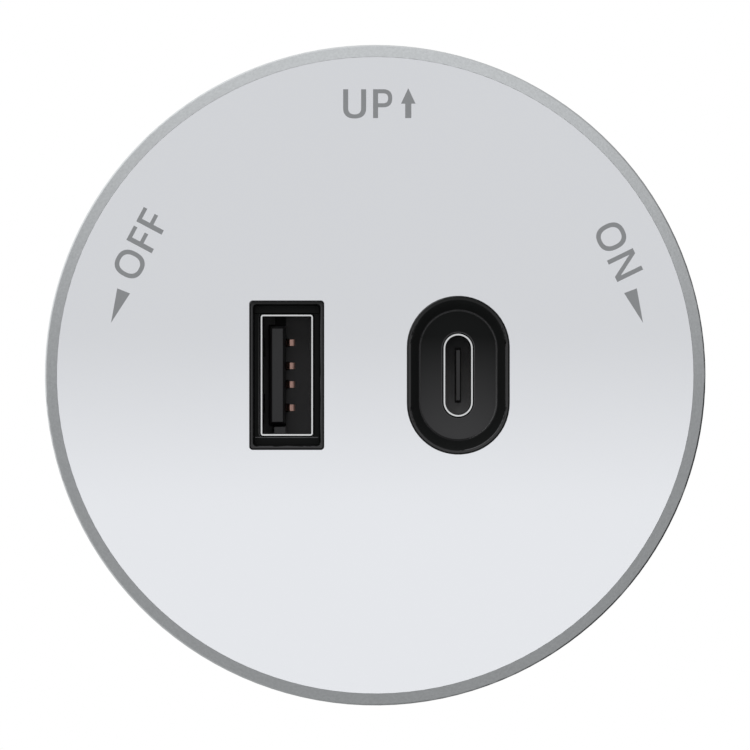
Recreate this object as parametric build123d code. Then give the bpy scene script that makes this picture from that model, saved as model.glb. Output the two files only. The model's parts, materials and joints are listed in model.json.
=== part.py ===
from build123d import *
import os
from math import cos, radians, sin

# Power track USB socket. All sizes are in millimetres.
# The wall track's front face is the plane y = 0 and the stem points into the track, along +Y.
# The face looks towards -Y, +Z is up, and the twist axis is the Y axis.

# Head
head_diameter = 71.0
head_depth = 28.0
rear_gap = 1.0
rim_bevel = 1.3
rim_shoulder = 0.65
rim_length = 4.5
rim_wall = 1.6
rim_fit = 0.05
rim_step = 0.1
shell_draft = 0.4
shell_wall = 1.6
front_floor = 1.6
rear_edge_radius = 0.6
panel_thickness = 1.2
panel_fit = 0.02

# USB-A opening, bezel and receptacle
usb_a_offset = 9.5
a_bezel_width = 8.0
a_bezel_height = 16.0
a_bezel_corner = 0.35
a_recess_depth = 1.5
a_recess_draft = 0.12
a_band_depth = 0.15
a_shell_width = 5.65
a_shell_height = 13.05
a_shell_corner = 0.3
sharpest_corner = 0.03
a_tongue_thickness = 1.72
a_tongue_height = 10.6
a_tongue_offset = 1.005
a_tongue_setback = 1.3
a_tongue_bevel = 0.3
a_tongue_lead = 3.6
a_block_depth = 4.2
a_key_height = 0.7
a_key_width = 1.2
a_contact_pitches = (-3.5, -1.0, 1.0, 3.5)
a_contact_width = 0.7
a_contact_bulge = 0.84
a_contact_crest = 1.4
a_contact_tip_share = 0.36
a_contact_hook_depth = 0.12
a_contact_mouth = 0.4
a_well_depth = 2.5
a_well_gap = 0.18
a_contact_length = 4.4
a_finger_width = 2.0
a_finger_length = 5.4
a_finger_setback = 2.4
a_finger_bend = 0.25
a_finger_slot = 0.3
a_finger_lead = 1.6
a_finger_spacing = 6.0

# USB-C opening, bezel and receptacle
usb_c_offset = 8.92
c_bezel_width = 11.0
c_bezel_height = 17.0
c_plate_width = 8.34
c_plate_height = 14.0
c_recess_depth = 1.7
c_plate_step = 0.12
c_plate_gap = 0.05
c_plate_round = 0.1
c_shell_width = 3.16
c_shell_height = 8.94
c_cavity_depth = 6.2
c_tongue_thickness = 0.42
c_tongue_height = 5.42
c_tongue_bevel = 0.05
c_tongue_setback = 1.2
c_contact_count = 12
c_contact_pitch = 0.45
c_contact_width = 0.25
c_contact_length = 3.2
c_contact_thickness = 0.05
c_well_depth = 1.0
c_well_gap = 0.13
c_well_end_gap = 0.26

# Both ports
lip_width = 0.4
lip_proud = 0.15
lip_round = 0.18
lip_round_limit = 0.45
bezel_flange = 1.2
bezel_flange_thickness = 1.2
bezel_fit = 0.03
port_sheet = 0.2
port_fit = 0.1
port_proud = 0.12
insulator_fit = 0.05
contact_sheet = 0.25
solder_tab_width = 1.6
solder_tab_reach = 0.8
solder_slot_fit = 0.15

# Converter board and what stands on it
board_edge_gap = 2.4
board_thickness = 1.6
board_clearance = 1.2
board_screw_bite = 4.0
post_radius = 2.2
post_inset = 4.5
transformer_width = 15.0
transformer_depth = 5.2
transformer_inset = 11.0
transformer_clearance = 0.8
core_lift = 0.5
core_bar = 2.1
core_leg = 1.9
centre_leg_radius = 1.85
bobbin_wall = 0.6
bobbin_flange = 0.8
bobbin_fit = 0.1
winding_inset = 0.25
pin_block_width = 9.6
pin_block_depth = 2.2
pin_block_gap = 0.4
input_cap_diameter = 8.0
output_cap_diameter = 6.3
can_edge_inset = 1.5
can_clearance = 0.8
can_neck_depth = 0.3
can_neck_height = 0.6
can_neck_lift = 1.4
output_cap_height = 9.0
choke_diameter = 9.0
choke_height = 8.0
choke_flange = 1.2
choke_core_radius = 2.4
choke_wire_inset = 0.5
choke_edge_inset = 4.5
fuse_diameter = 7.6
fuse_height = 8.0
fuse_bevel = 0.6
safety_cap_diameter = 8.5
safety_cap_thickness = 4.0
safety_cap_lift = 1.0
safety_cap_inset = 6.0
safety_cap_x = 2.0
lead_width = 0.6
lead_pitch = 5.0
bridge_width = 7.0
bridge_height = 5.0
bridge_thickness = 2.6
bridge_x = -1.0
opto_width = 4.6
opto_height = 6.5
opto_thickness = 3.4
controller_width = 5.0
controller_height = 4.0
controller_thickness = 1.6
controller_x = 3.0
charge_chip_width = 4.0
charge_chip_thickness = 0.9
charge_chip_drop = 9.0
output_choke_width = 7.0
output_choke_thickness = 4.2
chip_bevel = 0.15
chip_gap = 1.0
isolation_slot_width = 1.0

# Rear cover
cover_fit = 0.1
cover_rim_thickness = 2.4
cover_recess_depth = 2.2
cover_floor = 1.8
cover_recess_fit = 0.3
cover_cup_wall = 1.9
column_radius = 2.4
column_inset = 3.2
column_clearance = 0.4
cover_screw_bite = 9.0
screw_tip_gap = 0.5
flange_boss_radius = 2.2
flange_boss_height = 2.0
flange_hole_past_floor = 0.9

# Guide base, which stays still in the track while the head turns
cup_column_gap = 0.6
base_thickness = 3.0
base_gap = 0.2
hub_radius = 11.95
hub_clearance = 0.05
hub_end_gap = 0.2
guide_length = 34.0
guide_width = 8.6
guide_height = 2.3
guide_end_radius = 1.2
neck_clearance = 0.1
clip_thickness = 0.8
clip_groove_depth = 0.95
clip_overhang = 1.6
clip_clearance = 0.15
clip_seat_gap = 0.05
clip_fit = 0.03
clip_mouth = 7.0
friction_ring_inset = 2.2
friction_ring_width = 1.5
friction_ring_height = 1.5
friction_ring_gap = 0.05
friction_groove_fit = 0.1
lug_radius = 1.5
lug_height = 1.2
lug_circle = 16.0
lug_clearance = 0.15
lug_angle = 225.0
twist_angle = 90.0

# Stem, which turns with the head and carries the contacts
flange_radius = 18.4
flange_thickness = 2.0
flange_screw_circle = 15.9
neck_radius = 3.8
wing_radius = 13.0
wing_thickness = 8.4
wing_start = 2.8
stem_length = 19.0
tip_bevel = 0.8
stem_cover_thickness = 2.2
stem_screw_x = 6.5
stem_screw_neutral_drop = 1.7
stem_screw_live_drop = 0.9
stem_screw_tip_gap = 0.4
live_height = 6.7
neutral_height = 12.3
pocket_width = 4.2
pocket_floor = 1.8
mouth_wall = 1.4
shoe_reach = 1.0
shoe_nose_width = 3.4
shoe_nose_radius = 1.1
shoe_shoulder = 1.4
shoe_height = 3.3
shoe_fit = 0.1
shoe_rest_gap = 0.03
spring_sheet = 0.25
spring_height = 2.6
spring_room = 2.7
strip_thickness = 0.5
strip_width = 1.6
strip_offset = 1.8
strip_level = 1.5
strip_fit = 0.05
strip_past_board = 0.4
earth_pin_radius = 1.5
earth_nose_radius = 0.9
earth_shoulder_radius = 2.0
earth_shoulder = 0.9
earth_reach = 1.2
earth_spring_room = 1.9
tip_wall = 1.4

# Screws
screw_shank_radius = 1.0
screw_head_radius = 1.9
screw_head_height = 1.1
small_shank_radius = 0.8
small_head_radius = 1.5
small_head_height = 0.9
screw_fit = 0.05
head_fit = 0.15

# Angles round the twist axis, counted from +X towards +Z
column_angles = (90, 210, 330)
post_angles = (60, 180, 300)
flange_screw_angles = (90, 210, 330)
input_cap_angles = (125, 150)
output_cap_angles = (345, 6)
fuse_angle = 197
choke_angle = 235
output_choke_angle = 30

# Levels along the twist axis
face_y = -head_depth
rear_y = -rear_gap
ledge_y = face_y + panel_thickness
floor_back_y = ledge_y + front_floor
rim_back_y = face_y + rim_length
recess_floor_y = rear_y - cover_recess_depth
cup_front_y = recess_floor_y - cover_floor
flange_back_y = cup_front_y - flange_boss_height
flange_front_y = flange_back_y - flange_thickness
board_back_y = flange_front_y - screw_head_height - board_clearance
board_front_y = board_back_y - board_thickness
base_front_y = -base_thickness
hub_front_y = flange_back_y + hub_end_gap
lip_y = face_y - lip_proud

# Radii
head_radius = head_diameter / 2
panel_radius = head_radius - rim_bevel
spigot_radius = head_radius - rim_wall
body_radius = head_radius - rim_step
body_rear_radius = body_radius - shell_draft
cavity_radius = body_rear_radius - shell_wall
cover_radius = cavity_radius - cover_fit
column_circle = cavity_radius - column_inset
board_radius = cavity_radius - board_edge_gap
post_circle = board_radius - post_inset
cup_radius = column_circle - column_radius - cup_column_gap
recess_radius = cup_radius - cover_cup_wall
base_radius = recess_radius - cover_recess_fit
friction_ring_radius = base_radius - friction_ring_inset


def at(y):
    """Sketch plane across the twist axis at the level y, as seen from the front."""
    return Plane.XZ.offset(-y)


def slab(shape, back, front):
    """Solid of one section, from its back level forwards to its front level."""
    return extrude(at(back) * shape, back - front)


def turned(*points):
    """Solid turned about the twist axis from points given as radius and level."""
    return revolve(make_face(Polyline(*points, close=True)), Axis.Y)


def block(x_from, x_to, y_from, y_to, z_from, z_to):
    """Box between two corners."""
    low = Align.MIN
    box = Box(x_to - x_from, y_to - y_from, z_to - z_from, align=(low, low, low))
    return Pos(x_from, y_from, z_from) * box


def polar(radius, angle):
    """Place on a circle round the twist axis, in the sketch planes of at()."""
    return Pos(radius * cos(radians(angle)), radius * sin(radians(angle)))


def screw(x, z, head_back, shank_length, shank_radius, head_radius, head_height):
    """Screw driven from behind, its head bearing forwards at head_back - head_height."""
    place = Pos(x, z)
    head = slab(place * Circle(head_radius), head_back, head_back - head_height)
    seat = head_back - head_height
    return head + slab(place * Circle(shank_radius), seat, seat - shank_length)


# Head casing

def rim_ring():
    """Metal ring round the face, with the bevel that shows from the front and a rounded shoulder."""
    bore = spigot_radius + rim_fit
    ring = turned(
        (panel_radius, face_y),
        (head_radius, face_y + rim_bevel),
        (head_radius, rim_back_y),
        (bore, rim_back_y),
        (bore, ledge_y),
        (panel_radius, ledge_y),
    )
    widest = ring.edges().filter_by(GeomType.CIRCLE).group_by(SortBy.RADIUS)[-1]
    return fillet(widest.sort_by(Axis.Y)[0], rim_shoulder)


def a_opening(margin):
    """USB-A opening, grown by a margin on every side."""
    width = a_bezel_width + 2 * margin
    height = a_bezel_height + 2 * margin
    return Pos(-usb_a_offset, 0) * RectangleRounded(width, height, a_bezel_corner + margin)


def stadium(width, height):
    """Upright slot with round ends, on the USB-C port's centre."""
    return Pos(usb_c_offset, 0) * SlotOverall(height, width, rotation=90)


def c_opening(margin):
    """USB-C opening, grown by a margin on every side."""
    return stadium(c_bezel_width + 2 * margin, c_bezel_height + 2 * margin)


def front_shell():
    """Deep cup behind the face, with columns for the cover screws and posts for the board."""
    seam_y = rim_back_y + rim_fit
    step_y = seam_y + shell_wall
    throat = spigot_radius - shell_wall
    edge = rear_edge_radius
    shell = turned(
        (0, ledge_y),
        (spigot_radius, ledge_y),
        (spigot_radius, seam_y),
        (body_radius, seam_y),
        (body_rear_radius, rear_y - edge),
        (body_rear_radius - edge, rear_y),
        (cavity_radius, rear_y),
        (cavity_radius, step_y),
        (throat, step_y),
        (throat, floor_back_y),
        (0, floor_back_y),
    )
    column_back = rear_y - cover_rim_thickness
    for angle in column_angles:
        place = polar(column_circle, angle)
        shell += slab(place * Circle(column_radius), column_back, floor_back_y)
    for angle in post_angles:
        place = polar(post_circle, angle)
        shell += slab(place * Circle(post_radius), board_front_y, floor_back_y)
    for angle in column_angles:
        bore = polar(column_circle, angle) * Circle(screw_shank_radius + screw_fit)
        shell -= slab(bore, column_back, column_back - cover_screw_bite)
    for angle in post_angles:
        bore = polar(post_circle, angle) * Circle(small_shank_radius + screw_fit)
        shell -= slab(bore, board_front_y, board_front_y - board_screw_bite)
    shell -= slab(a_opening(bezel_fit), floor_back_y, ledge_y)
    shell -= slab(c_opening(bezel_fit), floor_back_y, ledge_y)
    return shell


def face_panel():
    """Satin metal disc, flush in the rim, with the two port openings."""
    disc = slab(Circle(panel_radius - panel_fit), ledge_y, face_y)
    disc -= slab(a_opening(bezel_fit), ledge_y, face_y)
    disc -= slab(c_opening(bezel_fit), ledge_y, face_y)
    return disc


def rear_cover():
    """Black cover with the recess, bearing bore and stop groove for the guide base."""
    bore = hub_radius + hub_clearance
    rim_front_y = rear_y - cover_rim_thickness
    cover = turned(
        (cover_radius, rear_y),
        (recess_radius, rear_y),
        (recess_radius, recess_floor_y),
        (bore, recess_floor_y),
        (bore, cup_front_y),
        (cup_radius, cup_front_y),
        (cup_radius, rim_front_y),
        (cover_radius, rim_front_y),
    )
    for angle in flange_screw_angles:
        boss = polar(flange_screw_circle, angle) * Circle(flange_boss_radius)
        cover += slab(boss, cup_front_y, flange_back_y)
    for angle in flange_screw_angles:
        hole = polar(flange_screw_circle, angle) * Circle(small_shank_radius + screw_fit)
        cover -= slab(hole, cup_front_y + flange_hole_past_floor, flange_back_y)
    for angle in column_angles:
        hole = polar(column_circle, angle) * Circle(screw_shank_radius + screw_fit)
        sink = polar(column_circle, angle) * Circle(screw_head_radius + head_fit)
        cover -= slab(hole, rear_y, rim_front_y)
        cover -= slab(sink, rear_y, rear_y - screw_head_height)
    path = CenterArc((0, 0), lug_circle, lug_angle, twist_angle)
    groove = SlotArc(path, 2 * (lug_radius + lug_clearance))
    cover -= slab(groove, recess_floor_y, base_front_y - lug_height - base_gap)
    return cover


def cover_screws():
    """Three screws that hold the rear cover to the shell."""
    length = cover_rim_thickness - screw_head_height + cover_screw_bite - screw_tip_gap
    screws = []
    for angle in column_angles:
        spot = polar(column_circle, angle).position
        screws.append(
            screw(spot.X, spot.Y, rear_y, length, screw_shank_radius, screw_head_radius, screw_head_height)
        )
    return Compound(screws)


# USB-A port

a_recess_y = lip_y + a_recess_depth
a_shell_front_y = a_recess_y - port_proud
a_tongue_y = a_shell_front_y + a_tongue_setback
a_block_y = board_front_y - a_block_depth
a_face_x = -usb_a_offset - a_tongue_offset + a_tongue_thickness / 2


def a_recess():
    """Room inside the USB-A bezel's lip, drawn in a little towards its floor."""
    sections = []
    for level, inset in ((a_recess_y, lip_width + a_recess_draft), (lip_y, lip_width)):
        width = a_bezel_width - 2 * inset
        height = a_bezel_height - 2 * inset
        outline = Pos(-usb_a_offset, 0) * RectangleRounded(width, height, a_bezel_corner)
        sections.append(at(level) * outline)
    return loft(sections, ruled=True)


def round_lip(body):
    """Bezel with both front edges of its lip rounded."""
    return fillet(body.edges().group_by(Axis.Y)[0], min(lip_round, lip_width * lip_round_limit))


def usb_a_bezel():
    """Black insert round the USB-A receptacle, pushed in from behind."""
    flange_back = floor_back_y + bezel_flange_thickness
    place = Pos(-usb_a_offset, 0)
    floor_width = a_bezel_width - 2 * (lip_width + a_recess_draft)
    body = slab(a_opening(0), floor_back_y, lip_y) - a_recess()
    body = round_lip(body)
    body += slab(a_opening(bezel_flange), flange_back, floor_back_y)
    band = place * Rectangle(floor_width, a_shell_height + 2 * port_fit)
    hole_width = a_shell_width + 2 * port_fit
    hole_height = a_shell_height + 2 * port_fit
    hole = place * RectangleRounded(hole_width, hole_height, a_shell_corner + port_fit)
    body -= slab(band, a_recess_y + a_band_depth, a_recess_y)
    body -= slab(hole, flange_back, a_recess_y)
    return body


def a_shell_section(inset):
    """Section of the USB-A shell, drawn in by an inset."""
    width = a_shell_width - 2 * inset
    height = a_shell_height - 2 * inset
    corner = max(a_shell_corner - inset, sharpest_corner)
    return Pos(-usb_a_offset, 0) * RectangleRounded(width, height, corner)


def a_tab_places():
    """Heights of the solder tabs, two on each long side of the USB-A shell."""
    reach = a_shell_height / 2 - a_shell_corner - solder_tab_width
    return (-reach, reach)


def finger():
    """Retention finger, drawn along its own wall: fixed in front, bowed inwards, free behind."""
    middle = -port_sheet / 2
    start = a_shell_front_y + a_finger_setback
    crest = start + a_finger_length - a_finger_lead
    path = Polyline(
        (middle, start - port_sheet),
        (middle, start),
        (middle - a_finger_bend, crest),
        (middle, start + a_finger_length),
    )
    return extrude(trace(path, port_sheet), a_finger_width / 2, both=True)


def finger_window():
    """Opening in the wall round a finger."""
    start = a_shell_front_y + a_finger_setback
    half = a_finger_width / 2 + a_finger_slot
    return block(-2 * port_sheet, port_sheet, start, start + a_finger_length + a_finger_slot, -half, half)


def finger_places():
    """Places of the four fingers, two on each long wall."""
    places = []
    for turn in (0, 180):
        for height in (-a_finger_spacing / 2, a_finger_spacing / 2):
            places.append(Rot(0, turn, 0) * Pos(a_shell_width / 2, 0, height))
    return [Pos(-usb_a_offset, 0, 0) * place for place in places]


def usb_a_shell():
    """Folded steel shell with retention fingers and four solder tabs through the board."""
    shell = slab(a_shell_section(0) - a_shell_section(port_sheet), board_front_y, a_shell_front_y)
    for place in finger_places():
        shell -= place * finger_window()
        shell += place * finger()
    outer = a_shell_width / 2
    inner = outer - port_sheet
    tab_back = board_back_y + solder_tab_reach
    for side in (-1, 1):
        edge_from = -usb_a_offset + min(side * outer, side * inner)
        edge_to = -usb_a_offset + max(side * outer, side * inner)
        for middle in a_tab_places():
            low = middle - solder_tab_width / 2
            high = middle + solder_tab_width / 2
            shell += block(edge_from, edge_to, board_front_y, tab_back, low, high)
    return shell


def a_contact_line(margin):
    """Slots in the insulator for the four contact tails, grown by a margin."""
    slots = Sketch()
    tail_x = a_face_x + contact_sheet / 2
    for height in a_contact_pitches:
        width = contact_sheet + 2 * margin
        slots += Pos(tail_x, height) * Rectangle(width, a_contact_width + 2 * margin)
    return slots


def usb_a_housing():
    """Insulator that fills the shell's back and carries the flat tongue."""
    body = slab(a_shell_section(port_sheet + insulator_fit), board_front_y, a_block_y)
    centre_x = -usb_a_offset - a_tongue_offset
    well_back = a_block_y + a_well_depth
    well_left = a_face_x - a_tongue_thickness - a_well_gap
    well_half = a_tongue_height / 2 + a_well_gap
    body -= block(well_left, a_face_x, a_block_y, well_back, -well_half, well_half)
    notch_left = a_face_x - a_key_width
    body -= block(notch_left, a_face_x, a_block_y, well_back, well_half, a_shell_height / 2)
    for height in a_contact_pitches:
        half = a_contact_width / 2 + port_fit
        mouth_end = a_face_x + a_contact_mouth
        body -= block(a_face_x, mouth_end, a_block_y, well_back, height - half, height + half)
    place = Pos(centre_x, 0)
    full = place * Rectangle(a_tongue_thickness, a_tongue_height)
    tip = place * Rectangle(a_tongue_thickness - 2 * a_tongue_bevel, a_tongue_height - 2 * a_tongue_bevel)
    lead_y = a_tongue_y + a_tongue_lead
    tongue = slab(full, well_back, lead_y) + loft([at(lead_y) * full, at(a_tongue_y) * tip], ruled=True)
    key_low = -a_shell_height / 2 + port_sheet + insulator_fit
    key_left = a_face_x - a_key_width
    key = block(key_left, a_face_x, a_tongue_y, well_back, key_low, key_low + a_key_height)
    body += tongue + key
    body -= slab(a_contact_line(insulator_fit), board_front_y, a_block_y)
    return body


def usb_a_contacts():
    """Four contacts that rise from the tongue and hook back, with tails through the insulator."""
    line_x = a_face_x + contact_sheet / 2
    crest_y = a_tongue_y + a_contact_crest
    path = FilletPolyline(
        (line_x, board_back_y + solder_tab_reach),
        (line_x, a_tongue_y + a_contact_length),
        (line_x + a_contact_bulge, crest_y),
        (line_x + a_contact_bulge * a_contact_tip_share, crest_y - a_contact_hook_depth),
        radius=contact_sheet,
    )
    outline = trace(path, contact_sheet)
    contacts = []
    for height in a_contact_pitches:
        strip = extrude(Pos(0, 0, height) * outline, a_contact_width / 2, both=True)
        contacts.append(strip)
    return Compound([solid for strip in contacts for solid in strip.solids()])


# USB-C port

c_plate_y = lip_y + c_recess_depth
c_shell_front_y = c_plate_y - port_proud
c_tongue_y = c_shell_front_y + c_tongue_setback
c_cavity_y = c_shell_front_y + c_cavity_depth


def usb_c_bezel():
    """Black insert whose funnel narrows to the plate round the USB-C receptacle."""
    flange_back = floor_back_y + bezel_flange_thickness
    mouth = stadium(c_bezel_width - 2 * lip_width, c_bezel_height - 2 * lip_width)
    plate = stadium(c_plate_width, c_plate_height)
    foot = c_plate_y + c_plate_step
    body = slab(c_opening(0), floor_back_y, lip_y) - loft([at(foot) * plate, at(lip_y) * mouth], ruled=True)
    body = round_lip(body)
    body += slab(c_opening(bezel_flange), flange_back, floor_back_y)
    top = stadium(c_plate_width - 2 * c_plate_gap, c_plate_height - 2 * c_plate_gap)
    raised = slab(top, foot, c_plate_y)
    body += fillet(raised.edges().group_by(Axis.Y)[0], c_plate_round)
    hole = stadium(c_shell_width + 2 * port_fit, c_shell_height + 2 * port_fit)
    body -= slab(hole, flange_back, c_plate_y)
    return body


def c_shell_section(inset):
    """Section of the USB-C shell, drawn in by an inset."""
    return stadium(c_shell_width - 2 * inset, c_shell_height - 2 * inset)


def usb_c_shell():
    """Drawn steel shell with four solder tabs through the board."""
    shell = slab(c_shell_section(0) - c_shell_section(port_sheet), board_front_y, c_shell_front_y)
    outer = c_shell_width / 2
    inner = outer - port_sheet
    tab_back = board_back_y + solder_tab_reach
    reach = (c_shell_height - c_shell_width) / 2 - solder_tab_width / 2
    for side in (-1, 1):
        edge_from = usb_c_offset + min(side * outer, side * inner)
        edge_to = usb_c_offset + max(side * outer, side * inner)
        for middle in (-reach, reach):
            low = middle - solder_tab_width / 2
            high = middle + solder_tab_width / 2
            shell += block(edge_from, edge_to, board_front_y, tab_back, low, high)
    return shell


def usb_c_housing():
    """Insulator at the back of the USB-C shell, with the thin tongue."""
    body = slab(c_shell_section(port_sheet + insulator_fit), board_front_y, c_cavity_y)
    well_back = c_cavity_y + c_well_depth
    well_width = c_tongue_thickness + 2 * c_well_gap
    well_height = c_tongue_height + 2 * c_well_end_gap
    place = Pos(usb_c_offset, 0)
    body -= slab(place * Rectangle(well_width, well_height), well_back, c_cavity_y)
    tongue = slab(place * Rectangle(c_tongue_thickness, c_tongue_height), well_back, c_tongue_y)
    tongue = chamfer(tongue.faces().sort_by(Axis.Y)[0].edges(), c_tongue_bevel)
    for contact in c_contact_blocks():
        tongue -= contact
    return body + tongue


def c_contact_blocks():
    """Contacts of the two rows, let in flush with the two sides of the tongue."""
    contacts = []
    start = c_tongue_y + 2 * c_tongue_bevel
    outer = c_tongue_thickness / 2
    first = -c_contact_pitch * (c_contact_count - 1) / 2
    for number in range(c_contact_count):
        middle = first + number * c_contact_pitch
        low = middle - c_contact_width / 2
        high = middle + c_contact_width / 2
        for side in (-1, 1):
            far = usb_c_offset + side * outer
            near = far - side * c_contact_thickness
            contacts.append(
                block(min(near, far), max(near, far), start, start + c_contact_length, low, high)
            )
    return contacts


def usb_c_contacts():
    """Two rows of flat contacts in the tongue."""
    return Compound([solid for contact in c_contact_blocks() for solid in contact.solids()])


# Converter board

def strip_places():
    """Centre of each conductor strip in the neck, as x and z, and its width."""
    return {
        "live": (-strip_offset, -strip_level),
        "neutral": (strip_offset, -strip_level),
        "earth": (0, strip_level),
    }


def main_board():
    """Round glass-fibre board with notches, slots and holes for what passes through it."""
    outline = Circle(board_radius)
    for angle in column_angles:
        outline -= polar(column_circle, angle) * Circle(column_radius + column_clearance)
    for angle in post_angles:
        outline -= polar(post_circle, angle) * Circle(small_shank_radius + column_clearance)
    for x, z in strip_places().values():
        width = strip_width + 2 * solder_slot_fit
        height = strip_thickness + 2 * solder_slot_fit
        outline -= Pos(x, z) * Rectangle(width, height)
    tab_width = port_sheet + 2 * solder_slot_fit
    tab_height = solder_tab_width + 2 * solder_slot_fit
    a_middle = (a_shell_width - port_sheet) / 2
    c_middle = (c_shell_width - port_sheet) / 2
    c_reach = (c_shell_height - c_shell_width) / 2 - solder_tab_width / 2
    for side in (-1, 1):
        for height in a_tab_places():
            outline -= Pos(-usb_a_offset + side * a_middle, height) * Rectangle(tab_width, tab_height)
        for height in (-c_reach, c_reach):
            outline -= Pos(usb_c_offset + side * c_middle, height) * Rectangle(tab_width, tab_height)
    outline -= a_contact_line(solder_slot_fit)
    outline -= Pos(0, opto_z) * SlotOverall(opto_height, isolation_slot_width, rotation=90)
    return slab(outline, board_back_y, board_front_y)


def board_screws():
    """Three screws that hold the board to the shell's posts."""
    screws = []
    head_back = board_back_y + small_head_height
    length = board_thickness + board_screw_bite - screw_tip_gap
    for angle in post_angles:
        spot = polar(post_circle, angle).position
        screws.append(
            screw(spot.X, spot.Y, head_back, length, small_shank_radius, small_head_radius, small_head_height)
        )
    return Compound(screws)


# Converter parts

transformer_z = board_radius - transformer_inset
core_back_y = board_front_y - core_lift
core_front_y = floor_back_y + transformer_clearance
window_radius = transformer_width / 2 - core_leg
window_back_y = core_back_y - core_bar
window_front_y = core_front_y + core_bar
bobbin_radius = window_radius - bobbin_fit
tube_radius = centre_leg_radius + bobbin_fit + bobbin_wall
opto_z = -strip_level - strip_thickness - chip_gap - opto_height / 2
choke_circle = board_radius - choke_edge_inset - choke_diameter / 2


def transformer_core():
    """Ferrite core of two E halves, closed round the bobbin."""
    half = transformer_depth / 2
    side = transformer_width / 2
    low = transformer_z - half
    high = transformer_z + half
    core = block(-side, side, core_front_y, core_back_y, low, high)
    core -= block(-window_radius, window_radius, window_front_y, window_back_y, low, high)
    leg = Pos(0, transformer_z) * Circle(centre_leg_radius)
    return core + slab(leg, window_back_y, window_front_y)


def transformer_bobbin():
    """Spool round the core's middle leg, with a pin block on each side of the core."""
    place = Pos(0, transformer_z)
    back = window_back_y - bobbin_fit
    front = window_front_y + bobbin_fit
    spool = slab(place * Circle(tube_radius), back, front)
    spool += slab(place * Circle(bobbin_radius), back, back - bobbin_flange)
    spool += slab(place * Circle(bobbin_radius), front + bobbin_flange, front)
    spool -= slab(place * Circle(centre_leg_radius + bobbin_fit), back, front)
    inner = transformer_depth / 2 + pin_block_gap
    for side in (-1, 1):
        near = transformer_z + side * inner
        far = near + side * pin_block_depth
        low = min(near, far)
        high = max(near, far)
        half = pin_block_width / 2
        spool += block(-half, half, back - bobbin_flange, board_front_y, low, high)
    return spool


def transformer_winding():
    """Taped winding between the bobbin's flanges."""
    back = window_back_y - bobbin_fit - bobbin_flange
    front = window_front_y + bobbin_fit + bobbin_flange
    ring = Circle(bobbin_radius - winding_inset) - Circle(tube_radius)
    return slab(Pos(0, transformer_z) * ring, back, front)


def cans(diameter, height, angles):
    """Capacitor cans that stand near the board's edge, with a rolled neck at the foot."""
    radius = diameter / 2
    circle = board_radius - can_edge_inset - radius
    neck_back = board_front_y - can_neck_lift
    neck_ring = Circle(radius) - Circle(radius - can_neck_depth)
    result = []
    for angle in angles:
        place = polar(circle, angle)
        can = slab(place * Circle(radius), board_front_y, board_front_y - height)
        can -= slab(place * neck_ring, neck_back, neck_back - can_neck_height)
        result.append(can)
    return Compound([solid for can in result for solid in can.solids()])


def input_capacitors():
    """Two high-voltage capacitors on the mains side."""
    height = board_front_y - floor_back_y - can_clearance
    return cans(input_cap_diameter, height, input_cap_angles)


def output_capacitors():
    """Two low-voltage capacitors on the 5 volt side."""
    return cans(output_cap_diameter, output_cap_height, output_cap_angles)


def choke_core():
    """Ferrite drum of the mains choke."""
    place = polar(choke_circle, choke_angle)
    back = board_front_y
    front = board_front_y - choke_height
    drum = slab(place * Circle(choke_core_radius), back, front)
    drum += slab(place * Circle(choke_diameter / 2), back, back - choke_flange)
    drum += slab(place * Circle(choke_diameter / 2), front + choke_flange, front)
    return drum


def choke_winding():
    """Wire wound on the drum."""
    place = polar(choke_circle, choke_angle)
    back = board_front_y - choke_flange
    front = board_front_y - choke_height + choke_flange
    ring = Circle(choke_diameter / 2 - choke_wire_inset) - Circle(choke_core_radius)
    return slab(place * ring, back, front)


def fuse():
    """Round time-lag fuse."""
    circle = board_radius - can_edge_inset - fuse_diameter / 2
    place = polar(circle, fuse_angle)
    can = slab(place * Circle(fuse_diameter / 2), board_front_y, board_front_y - fuse_height)
    return chamfer(can.edges().group_by(Axis.Y)[0], fuse_bevel)


def safety_capacitor():
    """Disc capacitor across the isolation gap, standing on its two leads."""
    radius = safety_cap_diameter / 2
    middle_y = board_front_y - safety_cap_lift - radius
    disc = Cylinder(radius, safety_cap_thickness)
    disc = chamfer(disc.edges().filter_by(GeomType.CIRCLE), safety_cap_thickness / 4)
    z = -board_radius + safety_cap_inset + safety_cap_thickness / 2
    body = Pos(safety_cap_x, middle_y, z) * disc
    half = lead_width / 2
    for side in (-1, 1):
        x = safety_cap_x + side * lead_pitch / 2
        body += block(x - half, x + half, middle_y, board_front_y, z - half, z + half)
    return body


def chip(centre_x, centre_z, width, height, thickness):
    """Moulded chip that lies on the front of the board."""
    outline = Pos(centre_x, centre_z) * Rectangle(width, height)
    body = slab(outline, board_front_y, board_front_y - thickness)
    return chamfer(body.faces().sort_by(Axis.Y)[0].edges(), chip_bevel)


def bridge_rectifier():
    """Rectifier on the mains side."""
    z = opto_z - opto_height / 2 - chip_gap - bridge_height / 2
    return chip(bridge_x, z, bridge_width, bridge_height, bridge_thickness)


def optocoupler():
    """Optocoupler across the isolation slot."""
    return chip(0, opto_z, opto_width, opto_height, opto_thickness)


def controller_chip():
    """Switching controller below the transformer."""
    drop = transformer_depth / 2 + pin_block_gap + pin_block_depth + chip_gap + controller_height / 2
    return chip(controller_x, transformer_z - drop, controller_width, controller_height, controller_thickness)


def charge_chip():
    """Charging controller beside the USB-C port."""
    x = usb_c_offset + c_shell_width / 2 + chip_gap + charge_chip_width
    return chip(x, -charge_chip_drop, charge_chip_width, charge_chip_width, charge_chip_thickness)


def output_choke():
    """Shielded choke on the 5 volt side."""
    place = polar(board_radius - can_edge_inset - output_choke_width, output_choke_angle).position
    return chip(place.X, place.Y, output_choke_width, output_choke_width, output_choke_thickness)


# Guide base

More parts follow.
